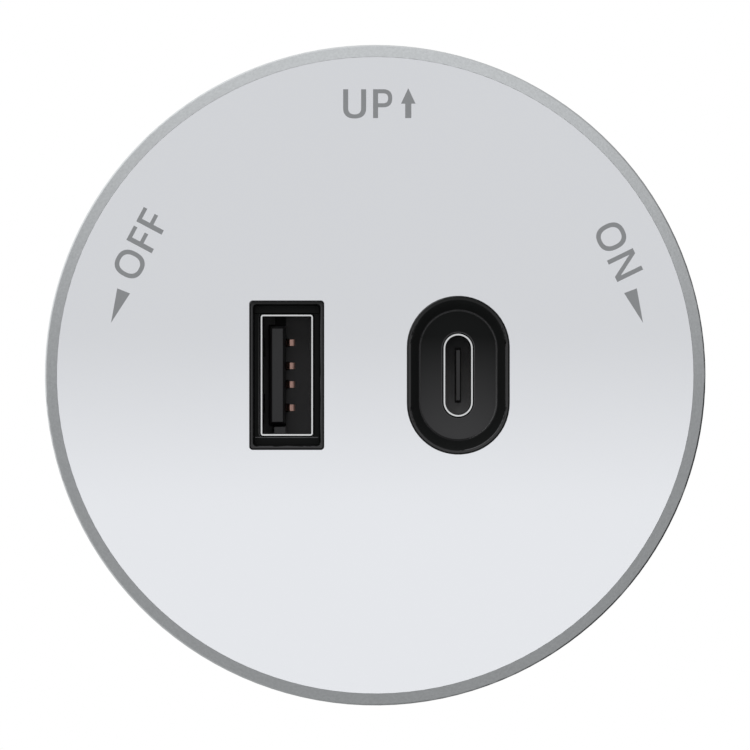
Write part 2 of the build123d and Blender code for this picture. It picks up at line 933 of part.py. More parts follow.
def guide_base():
    """Disc that seats on the track, with the guide rib, hub, clip groove and stop lug."""
    base = slab(Circle(base_radius), 0, base_front_y)
    base += slab(Circle(hub_radius), base_front_y, hub_front_y)
    rib = RectangleRounded(guide_length, guide_width, guide_end_radius)
    base += slab(rib, guide_height, 0)
    base += slab(polar(lug_circle, lug_angle) * Circle(lug_radius), base_front_y, base_front_y - lug_height)
    base -= slab(Circle(neck_radius + neck_clearance), guide_height, hub_front_y)
    groove_back = cup_front_y - clip_seat_gap
    groove_front = groove_back - clip_thickness - 2 * clip_clearance
    groove = Circle(hub_radius) - Circle(hub_radius - clip_groove_depth)
    base -= slab(groove, groove_back, groove_front)
    seat = friction_seat_y()
    inner = friction_ring_radius - friction_ring_width / 2 - friction_groove_fit
    outer = friction_ring_radius + friction_ring_width / 2 + friction_groove_fit
    base -= slab(Circle(outer) - Circle(inner), seat, base_front_y)
    return base


def friction_seat_y():
    """Level of the friction groove's bottom."""
    return recess_floor_y + friction_ring_gap + friction_ring_height


def friction_ring():
    """Rubber ring that gives the twist its drag."""
    inner = friction_ring_radius - friction_ring_width / 2
    outer = friction_ring_radius + friction_ring_width / 2
    seat = friction_seat_y()
    ring = slab(Circle(outer) - Circle(inner), seat, seat - friction_ring_height)
    return chamfer(ring.edges().group_by(Axis.Y)[0], friction_ring_width / 5)


def retaining_ring():
    """Spring clip in the hub's groove that holds the head on the base."""
    back = cup_front_y - clip_seat_gap - clip_clearance
    bore = hub_radius - clip_groove_depth + clip_fit
    ring = Circle(hub_radius + clip_overhang) - Circle(bore)
    ring -= Pos(-hub_radius, 0) * Rectangle(hub_radius, clip_mouth)
    return slab(ring, back, back - clip_thickness)


# Stem

split_z = wing_thickness / 2 - stem_cover_thickness
pocket_outer_x = wing_radius - mouth_wall
shoe_back_x = pocket_outer_x - shoe_rest_gap - shoe_shoulder
tab_outer_x = shoe_back_x - spring_room
pocket_inner_x = tab_outer_x - strip_thickness - strip_fit
pin_pocket_front_y = stem_length - tip_wall
pin_back_y = pin_pocket_front_y - shoe_rest_gap - earth_shoulder
earth_tab_y = pin_back_y - earth_spring_room
pin_pocket_back_y = earth_tab_y - strip_thickness - strip_fit


def wing_block():
    """Whole wing: a strip across a disc, so its ends turn inside the track, with a lead-in."""
    section = Circle(wing_radius) & Rectangle(2 * wing_radius, wing_thickness)
    wing = slab(section, stem_length, wing_start)
    return chamfer(wing.faces().sort_by(Axis.Y)[-1].edges(), tip_bevel)


def shoe_pocket(side, height):
    """Room for one side contact, its spring and the end of its strip, open towards +Z."""
    half = pocket_width / 2
    mouth = shoe_nose_width / 2 + shoe_fit
    near = side * pocket_inner_x
    far = side * pocket_outer_x
    end = side * (wing_radius + 1)
    room = block(min(near, far), max(near, far), height - half, height + half, -pocket_floor, split_z)
    door = block(min(far, end), max(far, end), height - mouth, height + mouth, -pocket_floor, split_z)
    return room + door


def pin_pocket():
    """Room for the earth pin, its spring and the end of its strip, open towards +Z."""
    half = earth_shoulder_radius + shoe_fit
    mouth = earth_pin_radius + shoe_fit
    room = block(-half, half, pin_pocket_back_y, pin_pocket_front_y, -half, split_z)
    door = slab(Circle(mouth), stem_length + 1, pin_pocket_front_y)
    door += block(-mouth, mouth, pin_pocket_front_y, stem_length + 1, 0, split_z)
    return room + door


def side_strip(side, height, margin):
    """Side contact's conductor: up the neck, across the wing, and a tab behind the spring."""
    half = strip_width / 2 + margin
    low = -strip_level - strip_thickness / 2 - margin
    high = -strip_level + strip_thickness / 2 + margin
    middle = side * strip_offset
    end = side * tab_outer_x
    front = board_front_y - strip_past_board
    run = block(middle - half, middle + half, front, height + half, low, high)
    inner = middle - side * half
    arm = block(min(inner, end), max(inner, end), height - half, height + half, low, high)
    return run + arm


def side_tab(side, height):
    """Upright end of a side strip, which the spring pushes against."""
    near = side * (tab_outer_x - strip_thickness)
    far = side * tab_outer_x
    half = pocket_width / 2 - shoe_fit
    top = spring_height / 2
    low = -strip_level - strip_thickness / 2
    return block(min(near, far), max(near, far), height - half, height + half, low, top)


def earth_run(margin):
    """Earth conductor up the neck, as far as the pin's pocket."""
    half = strip_width / 2 + margin
    low = strip_level - strip_thickness / 2 - margin
    high = strip_level + strip_thickness / 2 + margin
    front = board_front_y - strip_past_board
    return block(-half, half, front, earth_tab_y, low, high)


def screw_spots():
    """Places of the stem cover's screws, clear of the pockets."""
    return (
        (-stem_screw_x, neutral_height + stem_screw_neutral_drop),
        (stem_screw_x, live_height - stem_screw_live_drop),
    )


def stem_body():
    """Flange, neck and lower part of the wing, with pockets and conductor slots."""
    top = wing_thickness / 2 + 1
    far = wing_radius + 1
    body = wing_block() - block(-far, far, wing_start - 1, stem_length + 1, split_z, top)
    body += slab(Circle(neck_radius), wing_start, flange_back_y)
    body += slab(Circle(flange_radius), flange_back_y, flange_front_y)
    for angle in flange_screw_angles:
        hole = polar(flange_screw_circle, angle) * Circle(small_shank_radius + screw_fit)
        body -= slab(hole, flange_back_y, flange_front_y)
    body -= shoe_pocket(-1, live_height)
    body -= shoe_pocket(1, neutral_height)
    body -= pin_pocket()
    body -= side_strip(-1, live_height, strip_fit)
    body -= side_strip(1, neutral_height, strip_fit)
    body -= earth_run(strip_fit)
    for x, y in screw_spots():
        depth = split_z + pocket_floor
        bore = Cylinder(small_shank_radius + screw_fit, depth, align=(Align.CENTER, Align.CENTER, Align.MIN))
        body -= Pos(x, y, -pocket_floor) * bore
    return body


def stem_cover():
    """Upper part of the wing, which closes the pockets."""
    top = wing_thickness / 2 + 1
    far = wing_radius + 1
    cover = wing_block() & block(-far, far, wing_start - 1, stem_length + 1, split_z, top)
    upright = (Align.CENTER, Align.CENTER, Align.MIN)
    sink_z = wing_thickness / 2 - small_head_height
    for x, y in screw_spots():
        cover -= Pos(x, y, split_z) * Cylinder(
            small_shank_radius + screw_fit, stem_cover_thickness, align=upright
        )
        cover -= Pos(x, y, sink_z) * Cylinder(small_head_radius + head_fit, small_head_height, align=upright)
    return cover


def stem_screws():
    """Two screws through the stem cover."""
    upright = (Align.CENTER, Align.CENTER, Align.MIN)
    top = wing_thickness / 2
    seat = top - small_head_height
    foot = -pocket_floor + stem_screw_tip_gap
    screws = []
    for x, y in screw_spots():
        head = Pos(x, y, seat) * Cylinder(small_head_radius, small_head_height, align=upright)
        shank = Pos(x, y, foot) * Cylinder(small_shank_radius, seat - foot, align=upright)
        screws.append((head + shank).solid())
    return Compound(screws)


def flange_screws():
    """Three screws that hold the stem's flange to the cover's bosses, heads to the front."""
    screws = []
    tip = cup_front_y + flange_hole_past_floor - screw_tip_gap
    for angle in flange_screw_angles:
        place = polar(flange_screw_circle, angle)
        head = slab(place * Circle(small_head_radius), flange_front_y, flange_front_y - small_head_height)
        shank = slab(place * Circle(small_shank_radius), tip, flange_front_y)
        screws.append((head + shank).solid())
    return Compound(screws)


def live_strip():
    """Brass conductor from the board to the live contact's spring."""
    return side_strip(-1, live_height, 0) + side_tab(-1, live_height)


def neutral_strip():
    """Brass conductor from the board to the neutral contact's spring."""
    return side_strip(1, neutral_height, 0) + side_tab(1, neutral_height)


def earth_strip():
    """Brass conductor from the board to the earth pin's spring."""
    half = strip_width / 2
    low = -spring_height / 2
    high = strip_level + strip_thickness / 2
    tab = block(-half, half, earth_tab_y - strip_thickness, earth_tab_y, low, high)
    return earth_run(0) + tab


def shoe(side, height):
    """Side contact: a rounded nose through the wing's end, and a shoulder that keeps it in."""
    tip = wing_radius + shoe_reach
    neck = pocket_outer_x - shoe_rest_gap
    nose = shoe_nose_width / 2
    shoulder = pocket_width / 2 - shoe_fit
    outline = Polyline(
        (side * shoe_back_x, height - shoulder),
        (side * neck, height - shoulder),
        (side * neck, height - nose),
        (side * tip, height - nose),
        (side * tip, height + nose),
        (side * neck, height + nose),
        (side * neck, height + shoulder),
        (side * shoe_back_x, height + shoulder),
        close=True,
    )
    body = extrude(make_face(outline), shoe_height / 2, both=True)
    ends = body.edges().filter_by(Axis.Z).group_by(Axis.X)[-1 if side > 0 else 0]
    return fillet(ends, shoe_nose_radius)


def live_shoe():
    """Live contact at the wing's -X end."""
    return shoe(-1, live_height)


def neutral_shoe():
    """Neutral contact at the wing's +X end."""
    return shoe(1, neutral_height)


def earth_pin():
    """Earth contact at the stem's tip, with a domed nose."""
    shoulder_front = pin_pocket_front_y - shoe_rest_gap
    tip = stem_length + earth_reach
    pin = slab(Circle(earth_pin_radius), tip, pin_back_y)
    pin = fillet(pin.edges().group_by(Axis.Y)[-1], min(earth_nose_radius, earth_pin_radius))
    return pin + slab(Circle(earth_shoulder_radius), shoulder_front, pin_back_y)


def bow(depth, span):
    """Outline of a bowed leaf spring: feet at depth 0, crown at the given depth."""
    half = span / 2
    lean = spring_sheet
    inner = ThreePointArc((0, -half + lean), (depth - spring_sheet, 0), (0, half - lean))
    outer = ThreePointArc((0, half), (depth, 0), (0, -half))
    sides = Line((0, half - lean), (0, half)) + Line((0, -half), (0, -half + lean))
    return make_face(inner + outer + sides)


def side_spring(side, height):
    """Bowed leaf between a side strip's tab and its shoe."""
    outline = bow(spring_room - 2 * shoe_rest_gap, pocket_width - 2 * shoe_fit)
    leaf = extrude(outline, spring_height / 2, both=True)
    if side < 0:
        leaf = leaf.rotate(Axis.Z, 180)
    return Pos(side * (tab_outer_x + shoe_rest_gap), height, 0) * leaf


def live_spring():
    """Leaf spring behind the live contact."""
    return side_spring(-1, live_height)


def neutral_spring():
    """Leaf spring behind the neutral contact."""
    return side_spring(1, neutral_height)


def earth_spring():
    """Leaf spring behind the earth pin."""
    span = 2 * earth_shoulder_radius
    leaf = extrude(bow(earth_spring_room - 2 * shoe_rest_gap, span), strip_width / 2, both=True)
    leaf = leaf.rotate(Axis.Z, 90)
    return Pos(0, earth_tab_y + shoe_rest_gap, 0) * leaf


pieces = (
    guide_base,
    retaining_ring,
    friction_ring,
    rim_ring,
    front_shell,
    face_panel,
    usb_a_bezel,
    usb_a_shell,
    usb_a_housing,
    usb_a_contacts,
    usb_c_bezel,
    usb_c_shell,
    usb_c_housing,
    usb_c_contacts,
    main_board,
    board_screws,
    transformer_core,
    transformer_bobbin,
    transformer_winding,
    input_capacitors,
    output_capacitors,
    choke_core,
    choke_winding,
    fuse,
    safety_capacitor,
    bridge_rectifier,
    optocoupler,
    controller_chip,
    charge_chip,
    output_choke,
    rear_cover,
    cover_screws,
    stem_body,
    stem_cover,
    stem_screws,
    flange_screws,
    live_strip,
    neutral_strip,
    earth_strip,
    live_spring,
    neutral_spring,
    earth_spring,
    live_shoe,
    neutral_shoe,
    earth_pin,
)

os.makedirs("parts", exist_ok=True)
for piece in pieces:
    export_step(piece(), "parts/" + piece.__name__ + ".step")
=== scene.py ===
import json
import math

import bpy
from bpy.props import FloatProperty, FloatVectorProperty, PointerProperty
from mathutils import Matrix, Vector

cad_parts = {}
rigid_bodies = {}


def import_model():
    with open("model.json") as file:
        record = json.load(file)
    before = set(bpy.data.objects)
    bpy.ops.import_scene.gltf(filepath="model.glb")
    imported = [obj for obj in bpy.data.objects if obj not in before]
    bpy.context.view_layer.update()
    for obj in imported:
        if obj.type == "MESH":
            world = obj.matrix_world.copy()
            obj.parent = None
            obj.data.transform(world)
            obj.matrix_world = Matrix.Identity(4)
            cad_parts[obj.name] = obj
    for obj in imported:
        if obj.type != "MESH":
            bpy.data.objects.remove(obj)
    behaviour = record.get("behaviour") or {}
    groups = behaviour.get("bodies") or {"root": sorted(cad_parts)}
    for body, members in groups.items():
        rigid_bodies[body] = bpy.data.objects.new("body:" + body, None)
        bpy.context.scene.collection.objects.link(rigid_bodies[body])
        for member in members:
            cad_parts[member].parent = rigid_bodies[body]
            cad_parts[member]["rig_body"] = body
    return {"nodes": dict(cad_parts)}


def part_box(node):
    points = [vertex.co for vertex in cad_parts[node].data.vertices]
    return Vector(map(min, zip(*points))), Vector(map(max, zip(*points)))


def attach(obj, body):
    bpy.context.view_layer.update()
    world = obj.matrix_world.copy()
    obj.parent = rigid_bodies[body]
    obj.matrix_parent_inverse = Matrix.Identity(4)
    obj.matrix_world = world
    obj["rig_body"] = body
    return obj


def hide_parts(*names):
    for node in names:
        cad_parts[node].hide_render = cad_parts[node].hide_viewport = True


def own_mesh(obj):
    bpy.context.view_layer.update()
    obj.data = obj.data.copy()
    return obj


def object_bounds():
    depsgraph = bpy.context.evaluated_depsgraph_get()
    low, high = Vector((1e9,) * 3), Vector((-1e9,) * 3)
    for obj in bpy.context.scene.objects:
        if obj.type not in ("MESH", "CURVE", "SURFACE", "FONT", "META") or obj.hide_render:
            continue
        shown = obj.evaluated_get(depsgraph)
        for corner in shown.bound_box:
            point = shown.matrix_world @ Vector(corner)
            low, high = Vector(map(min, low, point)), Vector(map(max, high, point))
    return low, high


bl_info = {
    "name": "Track USB Socket",
    "version": (1, 0, 0),
    "blender": (4, 5, 0),
    "location": "View3D > Sidebar > Track Socket",
    "description": "Dresses a power track USB socket with its finishes, printed marks, screws and studio",
    "category": "Object",
}

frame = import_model()
cad_low, cad_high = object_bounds()

MM = 0.001
MICRON = 0.000001
WELD = 0.5 * MICRON
FLAT = math.radians(0.5)
SHARP = math.radians(30)

# The face looks towards -Y, as seen by someone in front of the wall, and +Z is up.
face_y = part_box("face_panel")[0].y
lip_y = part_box("usb_a_bezel")[0].y

WHITE = (1, 1, 1, 1)


def hex_colour(text):
    """Linear red, green, blue and alpha of an sRGB colour written as hex."""
    shares = [int(text[place:place + 2], 16) / 255 for place in (1, 3, 5)]
    linear = [s / 12.92 if s <= 0.04045 else ((s + 0.055) / 1.055) ** 2.4 for s in shares]
    return (*linear, 1.0)


def colour_setting(name, description, text):
    """Colour that a user may change, given as sRGB hex."""
    return FloatVectorProperty(
        name=name, description=description, subtype="COLOR", size=4, min=0, max=1, default=hex_colour(text)
    )


def length_setting(name, description, size):
    """Length that a user may change, given in mm."""
    return FloatProperty(
        name=name, description=description, unit="LENGTH", min=0, precision=5, default=size * MM
    )


def level_setting(name, description, level):
    """Brightness that a user may change, where 1 is white."""
    return FloatProperty(name=name, description=description, min=0, soft_max=2, default=level)


class SocketColours(bpy.types.PropertyGroup):
    """Colours of the socket's finishes, and of the highlights and shade painted on its ports."""

    face: colour_setting("Face", "Satin anodised aluminium of the face panel", "#E5E7EB")
    ring: colour_setting("Ring", "Bead-blasted aluminium of the rim ring", "#C4C7C9")
    ink: colour_setting("Ink", "Grey ink of the printed marks", "#7D7F81")
    shell: colour_setting("Shell", "Silver paint of the housing", "#B7BABC")
    cover: colour_setting("Cover", "Black plastic of the rear cover", "#1D1E1F")
    stem: colour_setting("Stem", "Black plastic of the stem", "#191A1B")
    base: colour_setting("Base", "Grey plastic of the guide base", "#44474A")
    bezel: colour_setting("Bezel", "Black plastic round the ports", "#0E0F0F")
    # Lip, gleam, rounding and glint are painted highlights on the bezels' polished edges; lip top is painted
    # shade where they darken upwards.
    lip: colour_setting("Lip", "Black plastic where it is polished, on the bezels' lips", "#2C2C2D")
    shaded_lip_top: colour_setting("Lip top", "Upper end of the lips and of the USB-A hole's rounding", "#111212")
    rounding: colour_setting("Rounding", "Upper end of the USB-C plate's and hole's rounding", "#3F3F40")
    gleam: colour_setting("Gleam", "Rounding of the lips and the USB-A hole, where lit", "#4C4C4E")
    glint: colour_setting("Glint", "Lower right of the plate's rounding", "#6A6A6B")
    funnel: colour_setting("Funnel", "Black plastic of the slope round the USB-C plate", "#161717")
    # Plate top and plate foot are painted shade and painted light: the plate is graded darker upwards.
    shaded_plate_top: colour_setting("Plate top", "Upper end of the plate round the USB-C shell", "#111212")
    lit_plate_foot: colour_setting("Plate foot", "Lower end of the plate round the USB-C shell", "#3B3B3C")
    insulator: colour_setting("Insulator", "Black plastic of the ports' tongues", "#303031")
    # Block, well top and well foot are painted light and shade on the cavities' floors: lighter than the
    # tongues, the USB-C one darker upwards.
    block: colour_setting("Block", "Floor of the USB-A cavity", "#444445")
    shaded_well_top: colour_setting("Well top", "Upper end of the USB-C cavity's floor", "#2F2F30")
    lit_well_foot: colour_setting("Well foot", "Lower end of the USB-C cavity's floor", "#636364")
    nickel: colour_setting("Nickel", "Nickel plate of the port shells", "#D8D9DA")
    copper: colour_setting("Copper", "Bare copper alloy of the USB-A contacts", "#B39187")
    gold: colour_setting("Gold", "Gold flash of the USB-C contacts", "#D2B26A")
    zinc: colour_setting("Zinc", "Zinc plate of the screws", "#B9BBBD")
    brass: colour_setting("Brass", "Brass of the conductor strips", "#C8A25C")
    silver: colour_setting("Silver", "Silver plate of the track contacts", "#D9D7D0")


class SocketSizes(bpy.types.PropertyGroup):
    """Sizes of what is added to the socket."""

    cap_height: length_setting("Cap height", "Height of the letters UP, OFF and ON", 3.1)
    ink_thickness: length_setting("Ink thickness", "How far the ink stands on the face", 0.03)
    plastic_edge: length_setting("Plastic edge", "Rounding of the moulded edges", 0.2)
    sheet_edge: length_setting("Sheet edge", "Rounding of the port shells' cut edges", 0.04)
    bezel_edge: length_setting("Bezel edge", "Rounding of the bezels' edges", 0.1)
    recess_share: FloatProperty(
        name="Recess", description="Width of a screw's cross recess as a share of its head",
        subtype="FACTOR", min=0.2, max=0.8, default=0.6,
    )


class SocketStudio(bpy.types.PropertyGroup):
    """Camera and light."""

    distance: length_setting("Distance", "From the camera to the face", 1500)
    view_width: length_setting("View width", "Width that the picture takes in at the face", 80.53)
    zenith: level_setting("Zenith", "Brightness of the room overhead", 0.99)
    horizon: level_setting("Horizon", "Brightness of the room at the sides", 0.51)
    nadir: level_setting("Nadir", "Brightness of the room underneath", 0.495)
    card_top: level_setting("Card top", "Brightness of the reflector above the ports", 0.815)
    card_foot: level_setting("Card foot", "Brightness of the reflector below the ports", 1.0)
    card_gap: length_setting("Card gap", "From the face to the reflector", 40)
    lamp: FloatProperty(name="Lamp", description="Power of the soft lamp", unit="POWER", min=0, default=4.6)


# Selecting and shaping

def only(piece):
    """Makes one object the whole selection."""
    bpy.ops.object.select_all(action="DESELECT")
    piece.select_set(True)
    bpy.context.view_layer.objects.active = piece


def select_faces(piece, test):
    """Leaves the piece in edit mode with only the faces selected that pass a test."""
    only(piece)
    bpy.ops.object.mode_set(mode="EDIT")
    bpy.ops.mesh.select_mode(type="FACE")
    bpy.ops.mesh.select_all(action="DESELECT")
    bpy.ops.object.mode_set(mode="OBJECT")
    for face in piece.data.polygons:
        face.select = test(face)
    bpy.ops.object.mode_set(mode="EDIT")


def edit_all():
    """Opens the active piece in edit mode with all of it selected."""
    bpy.ops.object.mode_set(mode="EDIT")
    bpy.ops.mesh.select_all(action="SELECT")


def weld(piece):
    """Merges a piece's double points and turns its faces outwards."""
    only(piece)
    edit_all()
    bpy.ops.mesh.remove_doubles(threshold=WELD)
    bpy.ops.mesh.normals_make_consistent(inside=False)
    bpy.ops.object.mode_set(mode="OBJECT")


def paint(piece, material):
    """Makes a material the piece's only one."""
    piece.data.materials.clear()
    piece.data.materials.append(material)


def welded_copy(node):
    """Copy of a CAD node with its triangles merged into whole faces, shaded smooth between them."""
    piece = bpy.data.objects.new(node + "_finished", frame["nodes"][node].data.copy())
    bpy.context.scene.collection.objects.link(piece)
    only(piece)
    bpy.ops.mesh.customdata_custom_splitnormals_clear()
    edit_all()
    bpy.ops.mesh.remove_doubles(threshold=WELD)
    bpy.ops.mesh.dissolve_limited(angle_limit=FLAT)
    bpy.ops.object.mode_set(mode="OBJECT")
    bpy.ops.object.shade_smooth_by_angle(angle=SHARP)
    return piece


def paint_where(piece, material, test):
    """Gives a material to the faces whose centre and normal pass a test."""
    piece.data.materials.append(material)
    for face in piece.data.polygons:
        if test(face.center, face.normal):
            face.material_index = len(piece.data.materials) - 1


def stand_for(piece, node, material):
    """Gives a piece its material and a CAD node's body, and hides the node."""
    paint(piece, material)
    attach(piece, frame["nodes"][node]["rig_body"])
    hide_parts(node)


def dress(node, material, edge=0.0, steps=2):
    """Gives a node its material, on a copy with its edges rounded where a width is given."""
    if not edge:
        paint(frame["nodes"][node], material)
        return frame["nodes"][node]
    piece = welded_copy(node)
    bpy.ops.object.modifier_add(type="BEVEL")
    bevel = piece.modifiers[-1]
    bevel.width = edge
    bevel.segments = steps
    bevel.limit_method = "ANGLE"
    bevel.angle_limit = SHARP
    bevel.use_clamp_overlap = False
    bevel.harden_normals = True
    bpy.ops.object.modifier_apply(modifier=bevel.name)
    stand_for(piece, node, material)
    return piece


# Materials

# What a wave texture multiplies a place by
WAVE_FACTOR = 20

# Heights between which a plastic's painted light and shade goes from its foot's colour to its top's.
PLATE_FADE = (-7.0 * MM, 4.2 * MM)
WELL_FADE = (-4.0 * MM, 4.0 * MM)
A_LIP_FADE = (7.2 * MM, 7.8 * MM)
C_LIP_FADE = (3.5 * MM, 7.8 * MM)
EDGE_FADE = (-7.0 * MM, -3.0 * MM)
HOLE_FADE = (-5.0 * MM, 9.0 * MM)
GLINT_FADE = (-6.0 * MM, 6.0 * MM)


def add_node(tree, kind, settings):
    """Adds a node, with its fields set and its sockets set or fed from another node's output."""
    node = tree.nodes.new(kind)
    for name, value in settings.items():
        if isinstance(name, str) and hasattr(node, name):
            setattr(node, name, value)
        elif isinstance(value, bpy.types.NodeSocket):
            tree.links.new(value, node.inputs[name])
        else:
            node.inputs[name].default_value = value
    return node


def blank_material(name):
    """New material and its emptied node tree."""
    material = bpy.data.materials.new(name)
    material.use_nodes = True
    material.node_tree.nodes.clear()
    return material, material.node_tree


def finish(name, colour, metallic=0.0, roughness=0.5, specular=0.5, grain=0.3, relief=2.0, patch=5.0,
           tint=0.05, uneven=0.04, stretch=(1, 1, 1), ridge=0.0, ridge_relief=0.0, fade=None):
    """Material with the pattern that its making leaves on the surface.

    Grain and patch are the widths in mm of the fine relief and of the broad mottle. Relief is the
    grain's height in microns, tint the share by which the mottle changes the colour, and uneven how
    far the roughness strays. Stretch draws the grain out, and ridge is the spacing in mm of windings.
    Fade holds a second colour and the heights between which the first one turns into it, which paints light
    and shade by height.
    """
    material, tree = blank_material(name)
    place = add_node(tree, "ShaderNodeTexCoord", {}).outputs["Object"]
    drawn = add_node(tree, "ShaderNodeMapping", {"Vector": place, "Scale": stretch}).outputs["Vector"]
    fine = add_node(tree, "ShaderNodeTexNoise", {"Vector": drawn, "Scale": 1 / (grain * MM), "Detail": 2.0})
    broad = add_node(tree, "ShaderNodeTexNoise", {"Vector": place, "Scale": 1 / (patch * MM), "Detail": 3.0})
    ground = colour[:3]
    if fade:
        other, start, end = fade
        height = add_node(tree, "ShaderNodeSeparateXYZ", {"Vector": place}).outputs["Z"]
        share = add_node(tree, "ShaderNodeMapRange", {"Value": height, "From Min": start, "From Max": end})
        ground = add_node(tree, "ShaderNodeMix", {
            "data_type": "RGBA", 0: share.outputs["Result"], 6: tuple(colour), 7: tuple(other),
        }).outputs[2]
    tone = add_node(tree, "ShaderNodeMapRange", {
        "Value": broad.outputs["Fac"], "To Min": 1 - tint, "To Max": 1 + tint,
    })
    mottle = add_node(tree, "ShaderNodeVectorMath", {
        "operation": "SCALE", "Vector": ground, "Scale": tone.outputs["Result"],
    })
    rough = add_node(tree, "ShaderNodeMapRange", {
        "Value": fine.outputs["Fac"], "To Min": roughness - uneven, "To Max": roughness + uneven,
    })
    bump = add_node(tree, "ShaderNodeBump", {
        "Height": fine.outputs["Fac"], "Strength": 1.0, "Distance": relief * MICRON,
    })
    if ridge:
        wave = add_node(tree, "ShaderNodeTexWave", {
            "bands_direction": "Y", "Vector": place, "Scale": math.tau / WAVE_FACTOR / (ridge * MM),
        })
        bump = add_node(tree, "ShaderNodeBump", {
            "Height": wave.outputs["Fac"], "Strength": 1.0, "Distance": ridge_relief * MICRON,
            "Normal": bump.outputs["Normal"],
        })
    shader = add_node(tree, "ShaderNodeBsdfPrincipled", {
        "Base Color": mottle.outputs["Vector"], "Metallic": metallic, "Roughness": rough.outputs["Result"],
        "Specular IOR Level": specular, "Normal": bump.outputs["Normal"],
    })
    add_node(tree, "ShaderNodeOutputMaterial", {"Surface": shader.outputs["BSDF"]})
    return material


def bead_blasted_aluminium(colour):
    """Blasting leaves fine pits that spread the light, drawn a little coarser than real to show."""
    return finish("bead_blasted_aluminium", colour, metallic=1.0, roughness=0.36, grain=0.2, relief=30,
                  patch=0.3, tint=0.16, uneven=0.06)


def burnished_aluminium(colour):
    """Blasted aluminium where its rounded edge was burnished: a clearer gleam than on the flats."""
    return finish("burnished_aluminium", colour, metallic=1.0, roughness=0.18, grain=0.2, relief=4,
                  patch=0.3, tint=0.1, uneven=0.03)


def satin_anodised_aluminium(colour):
    """Brushed even and anodised: a smooth sheen with hardly any grain."""
    return finish("satin_anodised_aluminium", colour, metallic=1.0, roughness=0.15, grain=0.16, relief=0.2,
                  patch=12, tint=0.004, uneven=0.01)


def screen_ink(colour):
    """Thin matt ink, with the slight unevenness of a printing screen."""
    return finish("screen_ink", colour, roughness=0.6, specular=0.3, grain=0.12, relief=0.8, patch=1.5,
                  tint=0.02)


def silver_painted_abs(colour):
    """Sprayed silver on moulded ABS: fine flakes under a matt skin, with faint orange peel."""
    return finish("silver_painted_abs", colour, metallic=0.55, roughness=0.46, grain=0.35, relief=4,
                  patch=9, tint=0.025, uneven=0.05)


def spark_textured_abs(colour):
    """ABS from a spark-eroded mould: an even pebbled grain that dulls the black."""
    return finish("spark_textured_abs", colour, roughness=0.58, grain=0.32, relief=22, patch=8, tint=0.12,
                  uneven=0.08)


def glass_filled_nylon(colour):
    """Nylon with glass fibres: faint flow streaks along the stem."""
    return finish("glass_filled_nylon", colour, roughness=0.44, grain=0.5, relief=7, patch=4, tint=0.16,
                  uneven=0.09, stretch=(1, 0.22, 1))


def moulded_acetal(colour):
    """Waxy grey acetal, smooth where it slides."""
    return finish("moulded_acetal", colour, roughness=0.38, grain=0.6, relief=5, patch=7, tint=0.06,
                  uneven=0.06)


def etched_polycarbonate(colour):
    """Black polycarbonate with a fine etched grain that swallows the light."""
    return finish("etched_polycarbonate", colour, roughness=0.5, specular=0.06, grain=0.14, relief=2.5,
                  tint=0.1, uneven=0.05)


def polished_highlight_polycarbonate(colour, fade=None):
    """Black plastic where the mould is polished: the lips and the rounded edges, given lighter colours as
    painted highlights, and a fade of painted shade where one is given.
    """
    return finish("polished_highlight_polycarbonate", colour, roughness=0.24, specular=0.18, relief=1, fade=fade)


def shade_graded_polycarbonate(foot, top):
    """Satin plate with painted shade: near black at its top and lighter towards its foot, as the photograph
    shows it.
    """
    return finish("shade_graded_polycarbonate", foot, roughness=0.45, specular=0.04, grain=0.14,
                  fade=(top, *PLATE_FADE))


def liquid_crystal_polymer(colour, fade=None):
    """Black insulator plastic, matt and slightly fibrous."""
    return finish("liquid_crystal_polymer", colour, roughness=0.52, specular=0.06, grain=0.2, relief=3,
                  patch=2, tint=0.06, stretch=(1, 0.4, 1), fade=fade)


def nickel_plated_steel(colour):
    """Nickel on drawn steel: bright, with fine lines along the draw."""
    return finish("nickel_plated_steel", colour, metallic=1.0, roughness=0.24, grain=0.12, relief=1.2,
                  patch=2, tint=0.03, uneven=0.05, stretch=(1, 0.12, 1))


def copper_alloy(colour):
    """Bare phosphor bronze, a little dull from handling."""
    return finish("copper_alloy", colour, metallic=1.0, roughness=0.52, grain=0.1, relief=1, patch=0.8,
                  tint=0.1, uneven=0.08)


def gold_flash(colour):
    """Thin gold over nickel."""
    return finish("gold_flash", colour, metallic=1.0, roughness=0.22, grain=0.1, relief=0.6, patch=1,
                  tint=0.04)


def zinc_plated_steel(colour):
    """Zinc plate on cold-formed screws, with soft forming marks."""
    return finish("zinc_plated_steel", colour, metallic=1.0, roughness=0.32, grain=0.25, relief=3, patch=1.5,
                  tint=0.07, uneven=0.08)


def spring_steel():
    """Hardened strip with a bluish temper."""
    return finish("spring_steel", hex_colour("#8F9499"), metallic=1.0, roughness=0.3, grain=0.15, relief=1.5,
                  patch=3, tint=0.1, uneven=0.06, stretch=(1, 1, 0.2))


def half_hard_brass(colour):
    """Rolled brass strip with lines along the roll."""
    return finish("half_hard_brass", colour, metallic=1.0, roughness=0.3, grain=0.15, relief=1.2, patch=4,
                  tint=0.08, uneven=0.06, stretch=(1, 0.2, 1))


def silver_plated_brass(colour):
    """Silver plate on brass contacts, with fine wear along the slide."""
    return finish("silver_plated_brass", colour, metallic=1.0, roughness=0.26, grain=0.14, relief=1.5,
                  patch=1.2, tint=0.08, uneven=0.08, stretch=(1, 0.3, 1))


def nitrile_rubber():
    """Black rubber, matt with a dusty bloom."""
    return finish("nitrile_rubber", hex_colour("#1B1B1B"), roughness=0.78, specular=0.3, relief=8, patch=2,
                  tint=0.2)


